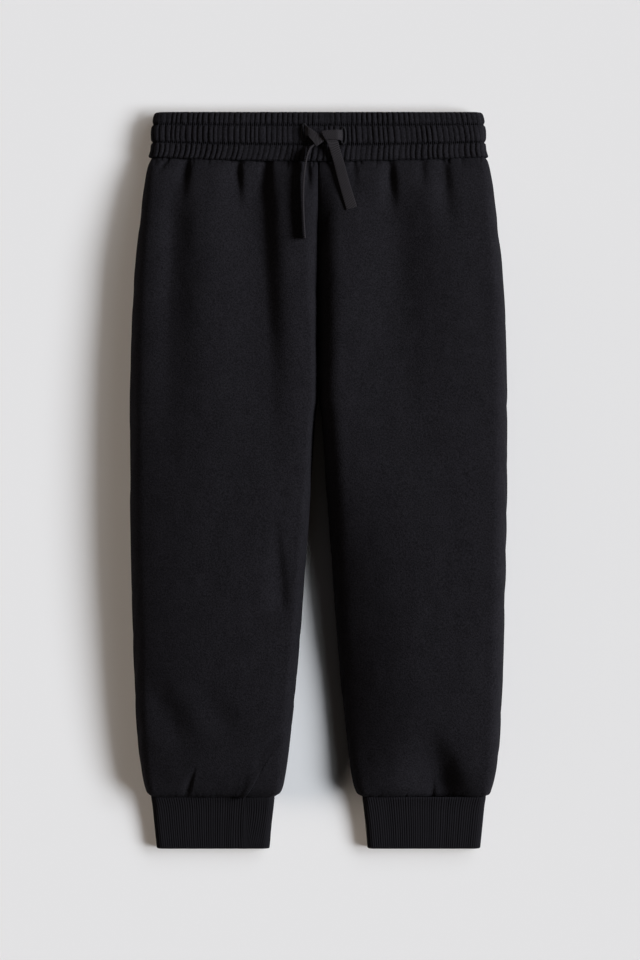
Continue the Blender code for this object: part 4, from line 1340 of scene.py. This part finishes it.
class SWEATPANTS_OT_drawstring(bpy.types.Operator):
    """Add both stretches of the flat drawstring, from buttonhole to free end."""

    bl_idname = "sweatpants.drawstring"
    bl_label = "Drawstring"

    def execute(self, context):
        finish = finish_of("Tape")
        for word, stations in (("left", LEFT_TAPE), ("right", RIGHT_TAPE)):
            tape, path, length = make_tape("tape_" + word, stations, finish)
            dress(tape, "tape", "drawstring_" + word)
        return {"FINISHED"}


class SWEATPANTS_OT_fronts(bpy.types.Operator):
    """Add the two front panels, with their folds and gathers."""

    bl_idname = "sweatpants.fronts"
    bl_label = "Front panels"

    def execute(self, context):
        add_panels("front", front_panel, FRONT_MESH, 100)
        return {"FINISHED"}


class SWEATPANTS_OT_backs(bpy.types.Operator):
    """Add the two back panels, which lie flat on the floor."""

    bl_idname = "sweatpants.backs"
    bl_label = "Back panels"

    def execute(self, context):
        add_panels("back", back_panel, BACK_MESH, 300)
        return {"FINISHED"}


class SWEATPANTS_OT_waistband(bpy.types.Operator):
    """Add the elastic waistband with its three gathered channels."""

    bl_idname = "sweatpants.waistband"
    bl_label = "Waistband"

    def execute(self, context):
        offsets = np.array([-1.3, -0.85, -0.5, -0.25, 0, 0.25, 0.5, 0.85, 1.3])
        rows = [np.linspace(0.0, 1.0, 24)] + [(line + offsets) / BAND_DEPTH for line in BAND_LINES]
        rows = np.unique(clamp(np.concatenate(rows)))
        profile = wall_profile(0.0, BAND_DEPTH, BAND_WALL, rows, True, False)
        columns = 18 * context.scene.sweatpants_cloth.gathers
        band = tube("elastic_waistband", band_points, profile, columns, finish_of("Fleece"))
        dress(band, "fleece", "waistband")
        return {"FINISHED"}


class SWEATPANTS_OT_cuffs(bpy.types.Operator):
    """Add the two ribbed cuffs."""

    bl_idname = "sweatpants.cuffs"
    bl_label = "Cuffs"

    def execute(self, context):
        rows = np.linspace(0.0, 1.0, 20)
        profile = wall_profile(HEM + SEAM_GAP, LENGTH, CUFF_WALL, rows, False, True)
        columns = 16 * context.scene.sweatpants_cloth.ribs
        for word, side in (("left", 1), ("right", -1)):

            def points(down, depth, share, side=side):
                return cuff_points(down, depth, share, side)

            made = tube("rib_cuff_" + word, points, profile, columns, finish_of("Rib knit"))
            dress(made, "rib", "cuff_" + word)
        return {"FINISHED"}


class SWEATPANTS_OT_sewing(bpy.types.Operator):
    """Add the stitches round the waistband's channels and the edges of its two buttonholes."""

    bl_idname = "sweatpants.sewing"
    bl_label = "Sewing"

    def execute(self, context):
        points, faces = joined([stitches(*band_line(down)) for down in BAND_LINES])
        points[:, 2] = np.maximum(points[:, 2], 0.0)
        # The stitches take the darkened thread, which paints shade along the sewn lines.
        made = mesh_piece("band_stitches", points * MM, [faces], finish_of("Thread"))
        dress(made, "fleece")
        points, faces = joined([satin_ring(*middle) for middle in BUTTONHOLES])
        # The buttonholes take the lightened thread, which paints their sheen.
        made = mesh_piece("buttonholes", points * MM, [faces], finish_of("Satin thread"))
        dress(made, "fleece")
        return {"FINISHED"}


class SWEATPANTS_PT_sidebar(bpy.types.Panel):
    """The sweatpants' settings and the buttons that build them."""

    bl_idname = "SWEATPANTS_PT_sidebar"
    bl_label = "Sweatpants"
    bl_space_type = "VIEW_3D"
    bl_region_type = "UI"
    bl_category = "Sweatpants"

    def draw(self, context):
        for setting in SETTINGS:
            group = getattr(context.scene, setting)
            box = self.layout.box()
            for name in group.bl_rna.properties.keys():
                if name not in ("rna_type", "name"):
                    box.prop(group, name)
        for operator in OPERATORS:
            self.layout.operator(operator.bl_idname)


OPERATORS = (
    SWEATPANTS_OT_stage,
    SWEATPANTS_OT_drawstring,
    SWEATPANTS_OT_fronts,
    SWEATPANTS_OT_backs,
    SWEATPANTS_OT_waistband,
    SWEATPANTS_OT_cuffs,
    SWEATPANTS_OT_sewing,
    SWEATPANTS_OT_lights,
)
SETTINGS = {
    "sweatpants_cloth": ClothSettings,
    "sweatpants_colours": ColourSettings,
    "sweatpants_stage": StageSettings,
}
CLASSES = (*SETTINGS.values(), *OPERATORS, SWEATPANTS_PT_sidebar)


def register():
    for made in CLASSES:
        bpy.utils.register_class(made)
    for name, group in SETTINGS.items():
        setattr(bpy.types.Scene, name, PointerProperty(type=group))


def unregister():
    for name in SETTINGS:
        delattr(bpy.types.Scene, name)
    for made in reversed(CLASSES):
        bpy.utils.unregister_class(made)


def main():
    register()
    for operator in OPERATORS:
        getattr(bpy.ops.sweatpants, operator.bl_idname.split(".")[1])()


if __name__ == "__main__":
    main()
